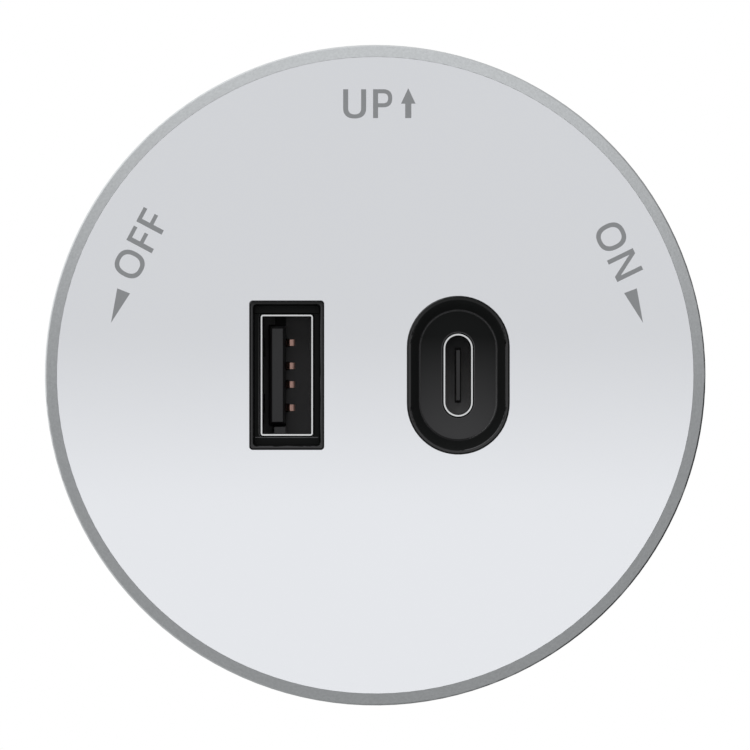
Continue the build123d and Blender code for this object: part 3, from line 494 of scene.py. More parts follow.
def solder_mask():
    """Green lacquer over glass fibre: the weave shows faintly, at 0.5 mm."""
    return finish("solder_mask", hex_colour("#1C5A38"), roughness=0.34, grain=0.5, relief=6, patch=2.5,
                  tint=0.15, ridge=0.5, ridge_relief=3)


def sintered_ferrite():
    """Grey-black ceramic, dull from the grinding wheel."""
    return finish("sintered_ferrite", hex_colour("#3A3A3C"), roughness=0.55, grain=0.25, relief=9, patch=2,
                  tint=0.15)


def polyester_tape():
    """Yellow tape wound over the coil, with a ridge at each 1.6 mm lap."""
    return finish("polyester_tape", hex_colour("#D8A92E"), roughness=0.3, grain=0.8, relief=5, patch=3,
                  tint=0.06, ridge=1.6, ridge_relief=40)


def enamelled_copper():
    """Enamelled wire wound close, one ridge for each 0.4 mm turn."""
    return finish("enamelled_copper", hex_colour("#A8552A"), metallic=1.0, roughness=0.3, relief=3, patch=2,
                  tint=0.12, ridge=0.4, ridge_relief=120)


def shrink_sleeve():
    """Dark sleeve shrunk on the capacitor cans, glossy with soft ripples."""
    return finish("shrink_sleeve", hex_colour("#23252E"), roughness=0.22, grain=1.2, relief=14, patch=4,
                  tint=0.06)


def drawn_can():
    """Bare aluminium can with lines from the deep drawing."""
    return finish("drawn_can", hex_colour("#C6C7C9"), metallic=1.0, roughness=0.3, grain=0.2, patch=3,
                  stretch=(1, 0.15, 1))


def moulded_epoxy():
    """Black moulding compound of the chips, with a sandy face."""
    return finish("moulded_epoxy", hex_colour("#202123"), roughness=0.6, grain=0.18, relief=8, patch=2,
                  tint=0.1)


def dipped_ceramic():
    """Blue epoxy that the disc capacitor was dipped in, glossy and a little lumpy."""
    return finish("dipped_ceramic", hex_colour("#2A5FA8"), roughness=0.25, grain=1.5, relief=30, patch=3,
                  tint=0.08)


def pressed_ferrite():
    """Grey pressed powder of the shielded choke."""
    return finish("pressed_ferrite", hex_colour("#4B4C4E"), roughness=0.62, grain=0.22, relief=10, patch=2,
                  tint=0.12)


# Printed marks, drawn in mm on a 3.1 mm cap height with the baseline at 0

DRAWN_CAP = 3.1
STEM = 0.54
BAR = 0.44
SIDE_CAP = 3.08
SIDE_STEM = 0.48
SIDE_BAR = 0.43
ARC_STEPS = 16
ROUNDNESS = 2.4

# Where letters start along the baseline, and each word's place in mm and turn in degrees
UP_P = 3.21
UP_ARROW = 6.21
OFF_F = 2.12
OFF_LAST_F = 4.38
ON_N = 2.11
UP_PLACE = (-3.44, 27.605)
OFF_PLACE = (-26.36, 11.94)
OFF_TURN = 62
ON_PLACE = (25.34, 14.87)
ON_TURN = -64

# Triangles on the face that point along the twist
OFF_POINTER = ((-27.7, 9.33), (-26.32, 8.78), (-28.37, 5.62))
ON_POINTER = ((28.09, 9.33), (26.72, 8.81), (28.76, 5.63))


def squared(share):
    """Sine or cosine changed so that a circle drawn with it turns a little square."""
    return math.copysign(abs(share) ** (2 / ROUNDNESS), share)


def arc(centre, across, up, start, end, steps=ARC_STEPS):
    """Points on part of a slightly squared oval, from one angle to another in degrees."""
    points = []
    for step in range(steps + 1):
        angle = math.radians(start + (end - start) * step / steps)
        x = centre[0] + across * squared(math.cos(angle))
        y = centre[1] + up * squared(math.sin(angle))
        points.append((x, y))
    return points


def oval(centre, across, up):
    """Points all the way round a slightly squared oval."""
    return arc(centre, across, up, 0, 360, 4 * ARC_STEPS)[:-1]


def letter_u():
    """Two stems on a round bowl."""
    width = 2.47
    overshoot = 0.04
    bowl = 1.12
    outer = width / 2
    inner = outer - STEM
    middle = (outer, bowl - overshoot)
    outline = [(0, DRAWN_CAP)] + arc(middle, outer, bowl, 180, 360) + [(width, DRAWN_CAP)]
    outline += [(width - STEM, DRAWN_CAP)] + arc(middle, inner, bowl - BAR, 360, 180) + [(STEM, DRAWN_CAP)]
    return [outline]


def letter_p():
    """Stem with a round bowl on its upper part."""
    width = 2.06
    bowl = 1.94
    outer = bowl / 2
    inner = outer - BAR
    middle = (width - outer, DRAWN_CAP - outer)
    outline = [(0, 0), (STEM, 0), (STEM, DRAWN_CAP - bowl)]
    outline += arc(middle, outer, outer, -90, 90) + [(0, DRAWN_CAP)]
    counter = [(STEM, middle[1] - inner)] + arc(middle, inner, inner, -90, 90) + [(STEM, middle[1] + inner)]
    return [outline, counter]


def up_arrow():
    """Arrow that stands on the baseline."""
    head = 1.56
    shaft = 0.66
    shoulder = 1.55
    top = 3.22
    middle = head / 2
    left = middle - shaft / 2
    right = middle + shaft / 2
    return [[
        (left, 0), (right, 0), (right, shoulder), (head, shoulder), (middle, top), (0, shoulder),
        (left, shoulder),
    ]]


def letter_o():
    """Ring centred on the place where it is set."""
    across = 2.88 / 2
    up = 3.16 / 2
    middle = (0, SIDE_CAP / 2)
    return [oval(middle, across, up), oval(middle, across - SIDE_STEM, up - SIDE_STEM)]


def letter_f():
    """Stem with two arms."""
    stem = 0.53
    top_arm = 1.74
    low_arm = 1.63
    drop = 1.38
    low_arm_top = SIDE_CAP - drop
    return [[
        (0, 0), (stem, 0), (stem, low_arm_top - SIDE_BAR), (low_arm, low_arm_top - SIDE_BAR),
        (low_arm, low_arm_top), (stem, low_arm_top), (stem, SIDE_CAP - SIDE_BAR),
        (top_arm, SIDE_CAP - SIDE_BAR), (top_arm, SIDE_CAP), (0, SIDE_CAP),
    ]]


def letter_n():
    """Two stems joined by a diagonal."""
    width = 2.56
    corner = 0.61
    rise = 0.9
    crotch = SIDE_CAP / 2 + rise
    far = width - SIDE_STEM
    return [[
        (0, 0), (SIDE_STEM, 0), (SIDE_STEM, crotch), (width - corner, 0), (width, 0), (width, SIDE_CAP),
        (far, SIDE_CAP), (far, SIDE_CAP - crotch), (corner, SIDE_CAP), (0, SIDE_CAP),
    ]]


def printed(name, outlines, place, angle, scale, thickness):
    """Ink on the face from outlines in mm, set at a place in mm and turned left by an angle in degrees."""
    curve = bpy.data.curves.new(name, "CURVE")
    curve.dimensions = "2D"
    curve.fill_mode = "BOTH"
    curve.extrude = thickness
    for outline in outlines:
        spline = curve.splines.new("POLY")
        spline.points.add(len(outline) - 1)
        for point, (across, up) in zip(spline.points, outline):
            point.co = (across * MM, up * MM, 0, 1)
        spline.use_cyclic_u = True
    piece = bpy.data.objects.new(name, curve)
    bpy.context.scene.collection.objects.link(piece)
    only(piece)
    bpy.ops.object.convert(target="MESH")
    piece = bpy.context.view_layer.objects.active
    upright = Matrix.Rotation(math.radians(90), 4, "X")
    spot = Matrix.Translation((place[0] * MM, face_y, place[1] * MM))
    turn = Matrix.Rotation(math.radians(-angle), 4, "Y")
    piece.matrix_world = spot @ turn @ upright @ Matrix.Diagonal((scale, scale, 1, 1))
    bpy.ops.object.transform_apply(location=True, rotation=True, scale=True)
    weld(piece)
    return piece


def shifted(outlines, across, up=0.0):
    """Outlines moved along and above the baseline."""
    return [[(x + across, y + up) for x, y in outline] for outline in outlines]


class SOCKET_OT_marks(bpy.types.Operator):
    """Print UP, OFF and ON with their arrows on the face."""

    bl_idname = "socket.marks"
    bl_label = "Print the marks"

    def execute(self, context):
        sizes = context.scene.socket_sizes
        ink = screen_ink(context.scene.socket_colours.ink)
        scale = sizes.cap_height / (DRAWN_CAP * MM)
        half = -SIDE_CAP / 2
        up_word = letter_u() + shifted(letter_p(), UP_P) + shifted(up_arrow(), UP_ARROW)
        off_word = letter_o() + shifted(letter_f(), OFF_F) + shifted(letter_f(), OFF_LAST_F)
        on_word = letter_o() + shifted(letter_n(), ON_N)
        marks = (
            ("mark_up", up_word, UP_PLACE, 0, scale),
            ("mark_off", shifted(off_word, 0, half), OFF_PLACE, OFF_TURN, scale),
            ("mark_on", shifted(on_word, 0, half), ON_PLACE, ON_TURN, scale),
            ("pointer_off", [OFF_POINTER], (0, 0), 0, 1),
            ("pointer_on", [ON_POINTER], (0, 0), 0, 1),
        )
        for name, outlines, place, angle, size in marks:
            piece = printed(name, outlines, place, angle, size, sizes.ink_thickness)
            paint(piece, ink)
            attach(piece, "head")
        return {"FINISHED"}


# Pieces of the socket

# How deep the rounded edges go, and how far beside a shell its hole's edge may lie
LIP_ROUND = 0.08 * MM
PLATE_EDGE = 0.1 * MM
HOLE_EDGE = 0.3 * MM
HOLE_MARGIN = 0.5 * MM

# How far a shell stands before its plate, and a cavity's floor lies behind its housing's front
SHELL_PROUD = 0.12 * MM
A_BLOCK_DEPTH = 8.37 * MM
C_BLOCK_DEPTH = 5.0 * MM
NEAR = 0.02 * MM

# Limits on the Y of a face's normal, which is -1 on a face that looks straight to the front
FRONTAL = -0.9
FLATTISH = -0.93
POLISHED_INSIDE = -0.8
POLISHED_OUTSIDE = -0.99
SLANT = (-0.95, -0.3)
SHOULDER_TILT = (-0.69, -0.02)

# How far a face's normal has to point towards a light for the face to get a painted highlight
LIT_SIDE = 0.3
WINDOW_FACING = 0.75

plate_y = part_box("usb_c_shell")[0].y + SHELL_PROUD


def on_shoulder(centre, normal):
    """Whether a face belongs to the ring's rounded outer edge."""
    outward = centre.x * normal.x + centre.z * normal.z > 0
    return outward and SHOULDER_TILT[0] < normal.y < SHOULDER_TILT[1]


def faces_front(centre, normal, level):
    """Whether a face looks to the front from a level."""
    return normal.y < FRONTAL and abs(centre.y - level) < NEAR


def on_plate_edge(centre, normal):
    """Whether a face belongs to the rounded edges of the USB-C plate."""
    return plate_y < centre.y < plate_y + PLATE_EDGE and SLANT[0] < normal.y < SLANT[1]


def plate_glints(centre, normal, middle):
    """Whether a face belongs to the plate's rounded edge on its right, where it catches the light."""
    return on_plate_edge(centre, normal) and centre.x > middle.x and normal.x > LIT_SIDE


def on_lip(centre, normal, middle):
    """Whether a face belongs to a lip's flat or to where it rounds off, mostly on its inner side."""
    inward = (middle.x - centre.x) * normal.x + (middle.z - centre.z) * normal.z
    tilt = POLISHED_INSIDE if inward > 0 else POLISHED_OUTSIDE
    return centre.y < lip_y + LIP_ROUND and normal.y < tilt


def lip_faces_window(centre, normal):
    """Whether a face of a lip's rounding is turned to the upper left, where the window is."""
    rounded = centre.y < lip_y + LIP_ROUND and FLATTISH <= normal.y < SLANT[1]
    return rounded and normal.z - normal.x > WINDOW_FACING


def on_hole_edge(centre, normal, shell, lit):
    """Whether a face belongs to the lit part of the rounded edge round a port's shell."""
    low, high = shell
    hole_y = low.y + SHELL_PROUD
    beside = low.x - HOLE_MARGIN < centre.x < high.x + HOLE_MARGIN
    level = low.z - HOLE_MARGIN < centre.z < high.z + HOLE_MARGIN
    rounded = hole_y < centre.y < hole_y + HOLE_EDGE and SLANT[0] < normal.y < SLANT[1]
    return beside and level and rounded and lit(normal)


def lights_a(normal):
    """Whether the USB-A hole's edge catches the light there: on its left and at its foot."""
    return max(normal.x, normal.z) > LIT_SIDE


def lights_c(normal):
    """Whether the USB-C hole's edge catches the light there: on its right."""
    return normal.x < -LIT_SIDE


def lipped_bezel(node, plastic, heights, gleam, colours, rounding):
    """Bezel of etched plastic with a polished lip, painted lighter as a highlight and darker between two
    heights as painted shade.
    """
    bezel = dress(node, etched_polycarbonate(plastic), rounding)
    lip = polished_highlight_polycarbonate(colours.lip, (colours.shaded_lip_top, *heights))
    middle = sum(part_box(node), Vector()) / 2
    # Painted highlight on the lip, fading to painted shade at its top.
    paint_where(bezel, lip, lambda centre, normal: on_lip(centre, normal, middle))
    # Painted highlight where a lip's rounding faces the window.
    paint_where(bezel, gleam, lip_faces_window)
    return bezel


def light_a_hole(bezel, colours):
    """Paints a highlight on the lit part of the rounded edge of the hole round the USB-A shell, fading to
    painted shade upwards.
    """
    bright = polished_highlight_polycarbonate(colours.gleam, (colours.shaded_lip_top, *HOLE_FADE))
    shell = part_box("usb_a_shell")
    paint_where(bezel, bright, lambda centre, normal: on_hole_edge(centre, normal, shell, lights_a))


def grade_c_plate(bezel, colours):
    """Paints the plate round the USB-C shell with shade, darker upwards, and its rounded edges with
    highlights.
    """
    bright = polished_highlight_polycarbonate(colours.lip, (colours.rounding, *EDGE_FADE))
    plate = shade_graded_polycarbonate(colours.lit_plate_foot, colours.shaded_plate_top)
    glint = polished_highlight_polycarbonate(colours.glint, (colours.rounding, *GLINT_FADE))
    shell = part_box("usb_c_shell")
    middle = sum(shell, Vector()) / 2
    paint_where(bezel, plate, lambda centre, normal: faces_front(centre, normal, plate_y))
    # Painted highlights on the plate's and the hole's rounded edges, and a painted glint at the plate's lower
    # right.
    paint_where(bezel, bright, on_plate_edge)
    paint_where(bezel, bright, lambda centre, normal: on_hole_edge(centre, normal, shell, lights_c))
    paint_where(bezel, glint, lambda centre, normal: plate_glints(centre, normal, middle))


# The stem's rounding as a share of the casing's
STEM_EDGE = 0.6

# Leaf springs, with the joint that presses each, its direction as an axis number and its fixed end

SPRINGS = (
    ("live_spring", "live_press", 0, 1),
    ("neutral_spring", "neutral_press", 0, 0),
    ("earth_spring", "earth_press", 1, 0),
)


def press_spring(node, joint, axis, end, material):
    """Gives a leaf spring its finish, on a copy with a mesh of its own."""
    piece = welded_copy(node)
    stand_for(piece, node, material)
    direction = Vector((0, 0, 0))
    direction[axis] = 1
    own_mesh(piece)


class SOCKET_OT_front(bpy.types.Operator):
    """Finish the face panel and the rim ring."""

    bl_idname = "socket.front"
    bl_label = "Finish the front"

    def execute(self, context):
        colours = context.scene.socket_colours
        dress("face_panel", satin_anodised_aluminium(colours.face))
        ring = dress("rim_ring", bead_blasted_aluminium(colours.ring))
        paint_where(ring, burnished_aluminium(colours.ring), on_shoulder)
        return {"FINISHED"}


class SOCKET_OT_ports(bpy.types.Operator):
    """Finish the bezels, shells, tongues and contacts of both ports, with painted highlights on the bezels
    and painted light and shade on the plate and cavity floors.
    """

    bl_idname = "socket.ports"
    bl_label = "Finish the ports"

    def execute(self, context):
        colours = context.scene.socket_colours
        edge = context.scene.socket_sizes.sheet_edge
        rounding = context.scene.socket_sizes.bezel_edge
        nickel = nickel_plated_steel(colours.nickel)
        insulator = liquid_crystal_polymer(colours.insulator)

        # Painted highlight for the lips' rounding where it faces the window.
        gleam = polished_highlight_polycarbonate(colours.gleam)
        a_bezel = lipped_bezel("usb_a_bezel", colours.bezel, A_LIP_FADE, gleam, colours, rounding)
        c_bezel = lipped_bezel("usb_c_bezel", colours.funnel, C_LIP_FADE, gleam, colours, rounding)
        light_a_hole(a_bezel, colours)
        grade_c_plate(c_bezel, colours)

        # The cavities' floors are painted lighter than the tongues as painted light, the USB-C one graded
        # darker upwards as painted shade.
        block = liquid_crystal_polymer(colours.block)
        well = liquid_crystal_polymer(colours.lit_well_foot, (colours.shaded_well_top, *WELL_FADE))
        floors = (("usb_a_housing", block, A_BLOCK_DEPTH), ("usb_c_housing", well, C_BLOCK_DEPTH))
        for node, floor, depth in floors:
            housing = dress(node, insulator)
            floor_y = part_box(node)[0].y + depth
            paint_where(housing, floor, lambda centre, normal: faces_front(centre, normal, floor_y))
        for node in ("usb_a_shell", "usb_c_shell"):
            dress(node, nickel, edge)
        dress("usb_a_contacts", copper_alloy(colours.copper), edge / 2)
        dress("usb_c_contacts", gold_flash(colours.gold))
        return {"FINISHED"}


class SOCKET_OT_housing(bpy.types.Operator):
    """Finish the front shell and the rear cover."""

    bl_idname = "socket.housing"
    bl_label = "Finish the housing"

    def execute(self, context):
        colours = context.scene.socket_colours
        edge = context.scene.socket_sizes.plastic_edge
        dress("front_shell", silver_painted_abs(colours.shell), edge)
        dress("rear_cover", spark_textured_abs(colours.cover), edge)
        return {"FINISHED"}


class SOCKET_OT_base(bpy.types.Operator):
    """Finish the guide base with its clip and friction ring."""

    bl_idname = "socket.base"
    bl_label = "Finish the guide base"

    def execute(self, context):
        colours = context.scene.socket_colours
        edge = context.scene.socket_sizes.plastic_edge
        dress("guide_base", moulded_acetal(colours.base), edge)
        dress("retaining_ring", spring_steel(), edge / 2)
        dress("friction_ring", nitrile_rubber(), edge / 2)
        return {"FINISHED"}


class SOCKET_OT_stem(bpy.types.Operator):
    """Finish the stem, its contacts, springs and conductor strips."""

    bl_idname = "socket.stem"
    bl_label = "Finish the stem"

    def execute(self, context):
        colours = context.scene.socket_colours
        edge = context.scene.socket_sizes.plastic_edge
        nylon = glass_filled_nylon(colours.stem)
        silver = silver_plated_brass(colours.silver)
        brass = half_hard_brass(colours.brass)
        leaf = spring_steel()
        for node in ("stem_body", "stem_cover"):
            dress(node, nylon, edge * STEM_EDGE)
        for node in ("live_shoe", "neutral_shoe", "earth_pin"):
            dress(node, silver, edge / 2, steps=3)
        for node in ("live_strip", "neutral_strip", "earth_strip"):
            dress(node, brass)
        for spring in SPRINGS:
            press_spring(*spring, leaf)
        return {"FINISHED"}


class SOCKET_OT_converter(bpy.types.Operator):
    """Finish the converter board and what stands on it."""

    bl_idname = "socket.converter"
    bl_label = "Finish the converter"

    def execute(self, context):
        epoxy = moulded_epoxy()
        ferrite = sintered_ferrite()
        finishes = {
            "main_board": solder_mask(),
            "transformer_core": ferrite,
            "choke_core": ferrite,
            "transformer_bobbin": liquid_crystal_polymer(hex_colour("#1A1A1A")),
            "transformer_winding": polyester_tape(),
            "choke_winding": enamelled_copper(),
            "input_capacitors": shrink_sleeve(),
            "output_capacitors": drawn_can(),
            "fuse": epoxy,
            "bridge_rectifier": epoxy,
            "optocoupler": epoxy,
            "controller_chip": epoxy,
            "charge_chip": epoxy,
            "safety_capacitor": dipped_ceramic(),
            "output_choke": pressed_ferrite(),
        }
        for node, material in finishes.items():
            dress(node, material)
        return {"FINISHED"}


# Screws, with head radius, head height and shank radius in mm

COVER_SCREW = (1.9, 1.1, 1.0)
SMALL_SCREW = (1.5, 0.9, 0.8)
HEAD_SIDES = 48
HEAD_STEPS = 5
ENDWISE = 0.9

# Shares: the recess's foot in its mouth, a wing's half width in its length, the cutter in the recess
RECESS_TAPER = 0.55
WING_SHARE = 0.3
CUTTER_LENGTH = 1.1

# Shares of the head's height and of the shank's radius
HEAD_ROUND = 0.4
RECESS_DEPTH = 0.75
TIP_INSET = 0.4
TIP_LENGTH = 0.3


def solid_boxes(node):
    """Lowest and highest corner of each separate solid in a CAD node."""
    welded_copy(node)
    edit_all()
    bpy.ops.mesh.separate(type="LOOSE")
    bpy.ops.object.mode_set(mode="OBJECT")
    boxes = []
    for part in list(bpy.context.selected_objects):
        points = [vertex.co for vertex in part.data.vertices]
        low = Vector([min(point[axis] for point in points) for axis in range(3)])
        high = Vector([max(point[axis] for point in points) for axis in range(3)])
        boxes.append((low, high))
        bpy.data.objects.remove(part)
    return boxes


def cross_cutter(width, depth):
    """Tapered cross that cuts the driver's recess, its wide end a little above 0."""
    arm = width / 2
    half = arm * WING_SHARE
    corners = [(arm, half), (half, half), (half, arm)]
    outline = []
    for quarter in range(4):
        for x, y in corners:
            for _ in range(quarter):
                x, y = -y, x
            outline.append((x, y))
    bpy.ops.object.select_all(action="DESELECT")
    bpy.ops.mesh.primitive_circle_add(vertices=len(outline), radius=arm, fill_type="NGON")
    cutter = bpy.context.view_layer.objects.active
    for vertex, (x, y) in zip(cutter.data.vertices, outline):
        vertex.co = (x, y, -depth)
    edit_all()
    bpy.ops.mesh.extrude_region_move(TRANSFORM_OT_translate={"value": (0, 0, depth * CUTTER_LENGTH)})
    bpy.ops.mesh.select_all(action="SELECT")
    bpy.ops.mesh.normals_make_consistent(inside=False)
    bpy.ops.object.mode_set(mode="OBJECT")
    for vertex in cutter.data.vertices:
        if vertex.co.z < -depth / 2:
            vertex.co.x *= RECESS_TAPER
            vertex.co.y *= RECESS_TAPER
    return cutter


def screw_model(head_radius, head_height, shank_radius, length, recess_share):
    """Screw that hangs below the origin: a rounded head with a cross recess, and a shank with a short tip."""
    bpy.ops.object.select_all(action="DESELECT")
    bpy.ops.mesh.primitive_cylinder_add(
        vertices=HEAD_SIDES, radius=head_radius, depth=head_height, location=(0, 0, -head_height / 2)
    )
    screw = bpy.context.view_layer.objects.active
    bpy.ops.object.transform_apply(location=True)
    select_faces(screw, lambda face: face.normal.z > ENDWISE)
    bpy.ops.mesh.bevel(offset=head_height * HEAD_ROUND, segments=HEAD_STEPS, affect="EDGES")
    bpy.ops.object.mode_set(mode="OBJECT")
    select_faces(screw, lambda face: face.normal.z < -ENDWISE)
    bpy.ops.mesh.inset(thickness=head_radius - shank_radius)
    bpy.ops.mesh.extrude_region_move(TRANSFORM_OT_translate={"value": (0, 0, head_height - length)})
    bpy.ops.mesh.inset(thickness=shank_radius * TIP_INSET)
    bpy.ops.transform.translate(value=(0, 0, -shank_radius * TIP_LENGTH))
    bpy.ops.object.mode_set(mode="OBJECT")
    cutter = cross_cutter(2 * head_radius * recess_share, head_height * RECESS_DEPTH)
    only(screw)
    bpy.ops.object.modifier_add(type="BOOLEAN")
    cut = screw.modifiers[-1]
    cut.operation = "DIFFERENCE"
    cut.object = cutter
    bpy.ops.object.modifier_apply(modifier=cut.name)
    bpy.data.objects.remove(cutter)
    bpy.ops.object.shade_smooth_by_angle(angle=SHARP)
    return screw


def screws_for(node, axis, sizes, recess_share, material):
    """Replaces a node's plain screws, whose heads look along an axis, by modelled ones."""
    head_radius, head_height, shank_radius = (size * MM for size in sizes)
    copies = []
    turn = Vector((0, 0, 1)).rotation_difference(axis).to_matrix().to_4x4()
    for low, high in solid_boxes(node):
        length = abs((high - low).dot(axis))
        top = (low + high) / 2 + axis * length / 2
        straight = length - shank_radius * TIP_LENGTH
        screw = screw_model(head_radius, head_height, shank_radius, straight, recess_share)
        screw.data.transform(Matrix.Translation(top) @ turn)
        copies.append(screw)
    group = copies[0]
    only(group)
    for screw in copies:
        screw.select_set(True)
    bpy.ops.object.join()
    group.name = node + "_finished"
    stand_for(group, node, material)


class SOCKET_OT_screws(bpy.types.Operator):
    """Model the screws with their cross recesses."""

    bl_idname = "socket.screws"
    bl_label = "Model the screws"

    def execute(self, context):
        share = context.scene.socket_sizes.recess_share
        zinc = zinc_plated_steel(context.scene.socket_colours.zinc)
        for node, axis, sizes in (
            ("cover_screws", (0, 1, 0), COVER_SCREW),
            ("board_screws", (0, 1, 0), SMALL_SCREW),
            ("flange_screws", (0, -1, 0), SMALL_SCREW),
            ("stem_screws", (0, 0, 1), SMALL_SCREW),
        ):
            screws_for(node, Vector(axis), sizes, share, zinc)
        return {"FINISHED"}


# Studio

FLOOR_DROP = 700 * MM
FLOOR_SIZE = 40.0
LAMP_SIZE = 0.7
LAMP_SIDE = (-0.15, -0.95, 0.27)
LAMP_DISTANCE = 1.0
CARD_SIZE = 100 * MM
CARD_TOP = 4.4 * MM
CARD_FOOT = -13.6 * MM
FILM_WIDTH = 36
IMAGE_PIXELS = 750
CAMERA_NUDGE = 0.2
OVERHEAD = Vector((0.015, 0, 1)).normalized()
DIM_BELOW = -0.3
WINDOW_SIDE = Vector((-1, 0, 0.3))
WINDOW_START = 0.35
WINDOW_DEPTH = 0.7
WINDOW_GAIN = 0.9
WINDOW_LOSS = -0.48


def room(tree, studio):
    """Brightness of the room by direction: bright overhead, a little to the left, and dim below.

    Behind the object the room is also brighter to the left, where its window is, and darker to the right.
    """
    direction = add_node(tree, "ShaderNodeTexCoord", {}).outputs["Generated"]
    depth = add_node(tree, "ShaderNodeSeparateXYZ", {"Vector": direction}).outputs["Y"]
    rise = add_node(tree, "ShaderNodeVectorMath", {"operation": "DOT_PRODUCT", 0: direction, 1: OVERHEAD})
    above = add_node(tree, "ShaderNodeMapRange", {
        "Value": rise.outputs["Value"], "To Min": studio.horizon, "To Max": studio.zenith,
    })
    below = add_node(tree, "ShaderNodeMapRange", {
        "Value": rise.outputs["Value"], "From Min": DIM_BELOW, "From Max": 0.0,
        "To Min": studio.nadir - studio.horizon, "To Max": 0.0,
    })
    walls = add_node(tree, "ShaderNodeMath", {
        "operation": "ADD", 0: above.outputs["Result"], 1: below.outputs["Result"],
    })
    slant = add_node(tree, "ShaderNodeVectorMath", {"operation": "DOT_PRODUCT", 0: direction, 1: WINDOW_SIDE})
    behind = add_node(tree, "ShaderNodeMapRange", {
        "Value": depth, "From Min": WINDOW_START, "From Max": WINDOW_DEPTH, "To Max": WINDOW_GAIN,
    })
    window = add_node(tree, "ShaderNodeMath", {
        "operation": "MULTIPLY", 0: slant.outputs["Value"], 1: behind.outputs["Result"],
    })
    limited = add_node(tree, "ShaderNodeMath", {
        "operation": "MAXIMUM", 0: window.outputs["Value"], 1: WINDOW_LOSS,
    })
    level = add_node(tree, "ShaderNodeMath", {
        "operation": "ADD", 0: walls.outputs["Value"], 1: limited.outputs["Value"],
    })
    return level.outputs["Value"]


def light_world(studio):
    """World that is white behind the object and lights it as a soft room does."""
    world = bpy.data.worlds.new("studio_room")
    bpy.context.scene.world = world
    world.use_nodes = True
    tree = world.node_tree
    tree.nodes.clear()
    rays = add_node(tree, "ShaderNodeLightPath", {})
    strength = add_node(tree, "ShaderNodeMix", {
        "data_type": "FLOAT", 0: rays.outputs["Is Camera Ray"], 2: room(tree, studio), 3: 1.0,
    })
    background = add_node(tree, "ShaderNodeBackground", {"Color": WHITE, "Strength": strength.outputs[0]})
    add_node(tree, "ShaderNodeOutputWorld", {"Surface": background.outputs["Background"]})


def floor_paint():
    """Pale painted floor, which the camera sees as a white one."""
    material, tree = blank_material("pale_floor")
    rays = add_node(tree, "ShaderNodeLightPath", {})
    colour = add_node(tree, "ShaderNodeMix", {
        "data_type": "RGBA", "Factor": rays.outputs["Is Camera Ray"], 6: hex_colour("#D8D8D8"),
        7: hex_colour("#FFFFFF"),
    })
    shader = add_node(tree, "ShaderNodeBsdfDiffuse", {"Color": colour.outputs[2]})
    add_node(tree, "ShaderNodeOutputMaterial", {"Surface": shader.outputs["BSDF"]})
    return material


def card_glow(studio):
    """Reflector that brightens downwards, so that the face does too."""
    material, tree = blank_material("reflector_card")
    place = add_node(tree, "ShaderNodeTexCoord", {}).outputs["Object"]
    parts = add_node(tree, "ShaderNodeSeparateXYZ", {"Vector": place})
    level = add_node(tree, "ShaderNodeMapRange", {
        "Value": parts.outputs["Z"], "From Min": CARD_FOOT, "From Max": CARD_TOP,
        "To Min": studio.card_foot, "To Max": studio.card_top,
    })
    glow = add_node(tree, "ShaderNodeEmission", {"Color": WHITE, "Strength": level.outputs["Result"]})
    add_node(tree, "ShaderNodeOutputMaterial", {"Surface": glow.outputs["Emission"]})
    return material


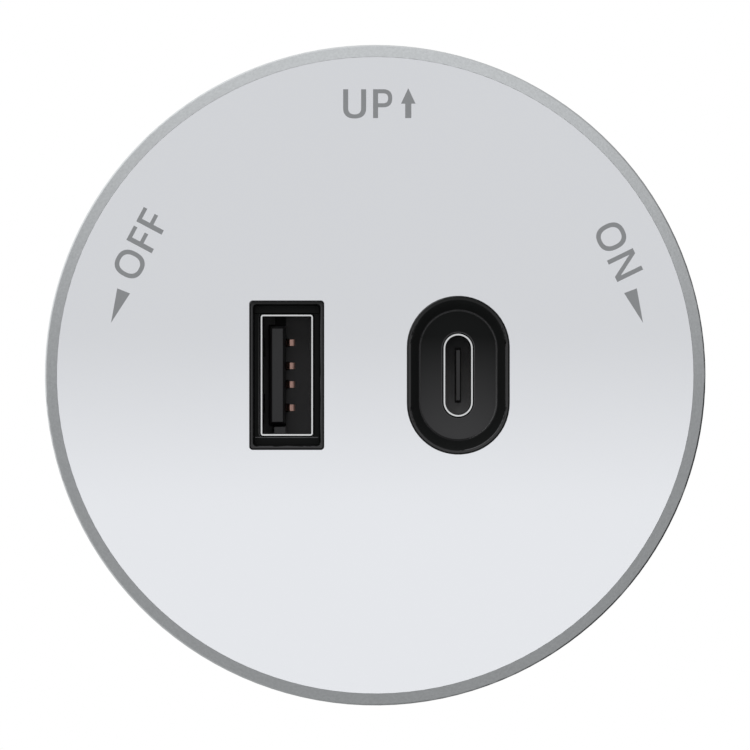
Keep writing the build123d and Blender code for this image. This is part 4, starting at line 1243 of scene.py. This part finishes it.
class SOCKET_OT_studio(bpy.types.Operator):
    """Set up the floor, the room's light, the lamp, the reflector and the camera."""

    bl_idname = "socket.studio"
    bl_label = "Set up the studio"

    def execute(self, context):
        studio = context.scene.socket_studio
        light_world(studio)
        bpy.ops.object.select_all(action="DESELECT")

        bpy.ops.mesh.primitive_plane_add(size=FLOOR_SIZE, location=(0, 0, cad_low.z - FLOOR_DROP))
        floor = context.active_object
        floor.name = "floor"
        bpy.ops.object.transform_apply(location=True)
        paint(floor, floor_paint())
        floor.visible_glossy = False

        card_y = face_y - studio.card_gap
        bpy.ops.mesh.primitive_plane_add(
            size=CARD_SIZE, location=(0, card_y, 0), rotation=(math.pi / 2, 0, 0)
        )
        card = context.active_object
        card.name = "reflector"
        bpy.ops.object.transform_apply(location=True, rotation=True)
        paint(card, card_glow(studio))
        card.visible_camera = card.visible_diffuse = card.visible_shadow = False

        aim = Vector(LAMP_SIDE).normalized() * LAMP_DISTANCE
        bpy.ops.object.light_add(type="AREA", location=aim)
        lamp = context.active_object
        lamp.name = "soft_lamp"
        lamp.rotation_euler = aim.to_track_quat("Z", "Y").to_euler()
        lamp.data.size = LAMP_SIZE
        lamp.data.energy = studio.lamp
        lamp.visible_glossy = False

        nudge = CAMERA_NUDGE * studio.view_width / IMAGE_PIXELS
        location = (-nudge, face_y - studio.distance, nudge)
        bpy.ops.object.camera_add(location=location, rotation=(math.pi / 2, 0, 0))
        camera = context.active_object
        camera.name = "camera"
        camera.data.sensor_width = FILM_WIDTH
        camera.data.lens = FILM_WIDTH * studio.distance / studio.view_width
        context.scene.camera = camera
        context.scene.view_settings.view_transform = "Standard"
        return {"FINISHED"}


class SOCKET_PT_panel(bpy.types.Panel):
    """Lists the steps with their colours and sizes."""

    bl_idname = "SOCKET_PT_panel"
    bl_label = "Track Socket"
    bl_space_type = "VIEW_3D"
    bl_region_type = "UI"
    bl_category = "Track Socket"

    def draw(self, context):
        scene = context.scene
        for group in (scene.socket_colours, scene.socket_sizes, scene.socket_studio):
            box = self.layout.box()
            for setting in group.bl_rna.properties:
                if setting.identifier not in ("rna_type", "name"):
                    box.prop(group, setting.identifier)
        for step in steps:
            self.layout.operator(step.bl_idname)


groups = {
    "socket_colours": SocketColours,
    "socket_sizes": SocketSizes,
    "socket_studio": SocketStudio,
}
steps = (
    SOCKET_OT_front,
    SOCKET_OT_marks,
    SOCKET_OT_ports,
    SOCKET_OT_housing,
    SOCKET_OT_base,
    SOCKET_OT_stem,
    SOCKET_OT_converter,
    SOCKET_OT_screws,
    SOCKET_OT_studio,
)
classes = (*groups.values(), *steps, SOCKET_PT_panel)


def register():
    for item in classes:
        bpy.utils.register_class(item)
    for name, group in groups.items():
        setattr(bpy.types.Scene, name, PointerProperty(type=group))


def unregister():
    for name in groups:
        delattr(bpy.types.Scene, name)
    for item in reversed(classes):
        bpy.utils.unregister_class(item)


def main():
    register()
    bpy.ops.socket.front()
    bpy.ops.socket.marks()
    bpy.ops.socket.ports()
    bpy.ops.socket.housing()
    bpy.ops.socket.base()
    bpy.ops.socket.stem()
    bpy.ops.socket.converter()
    bpy.ops.socket.screws()
    bpy.ops.socket.studio()


if __name__ == "__main__":
    main()
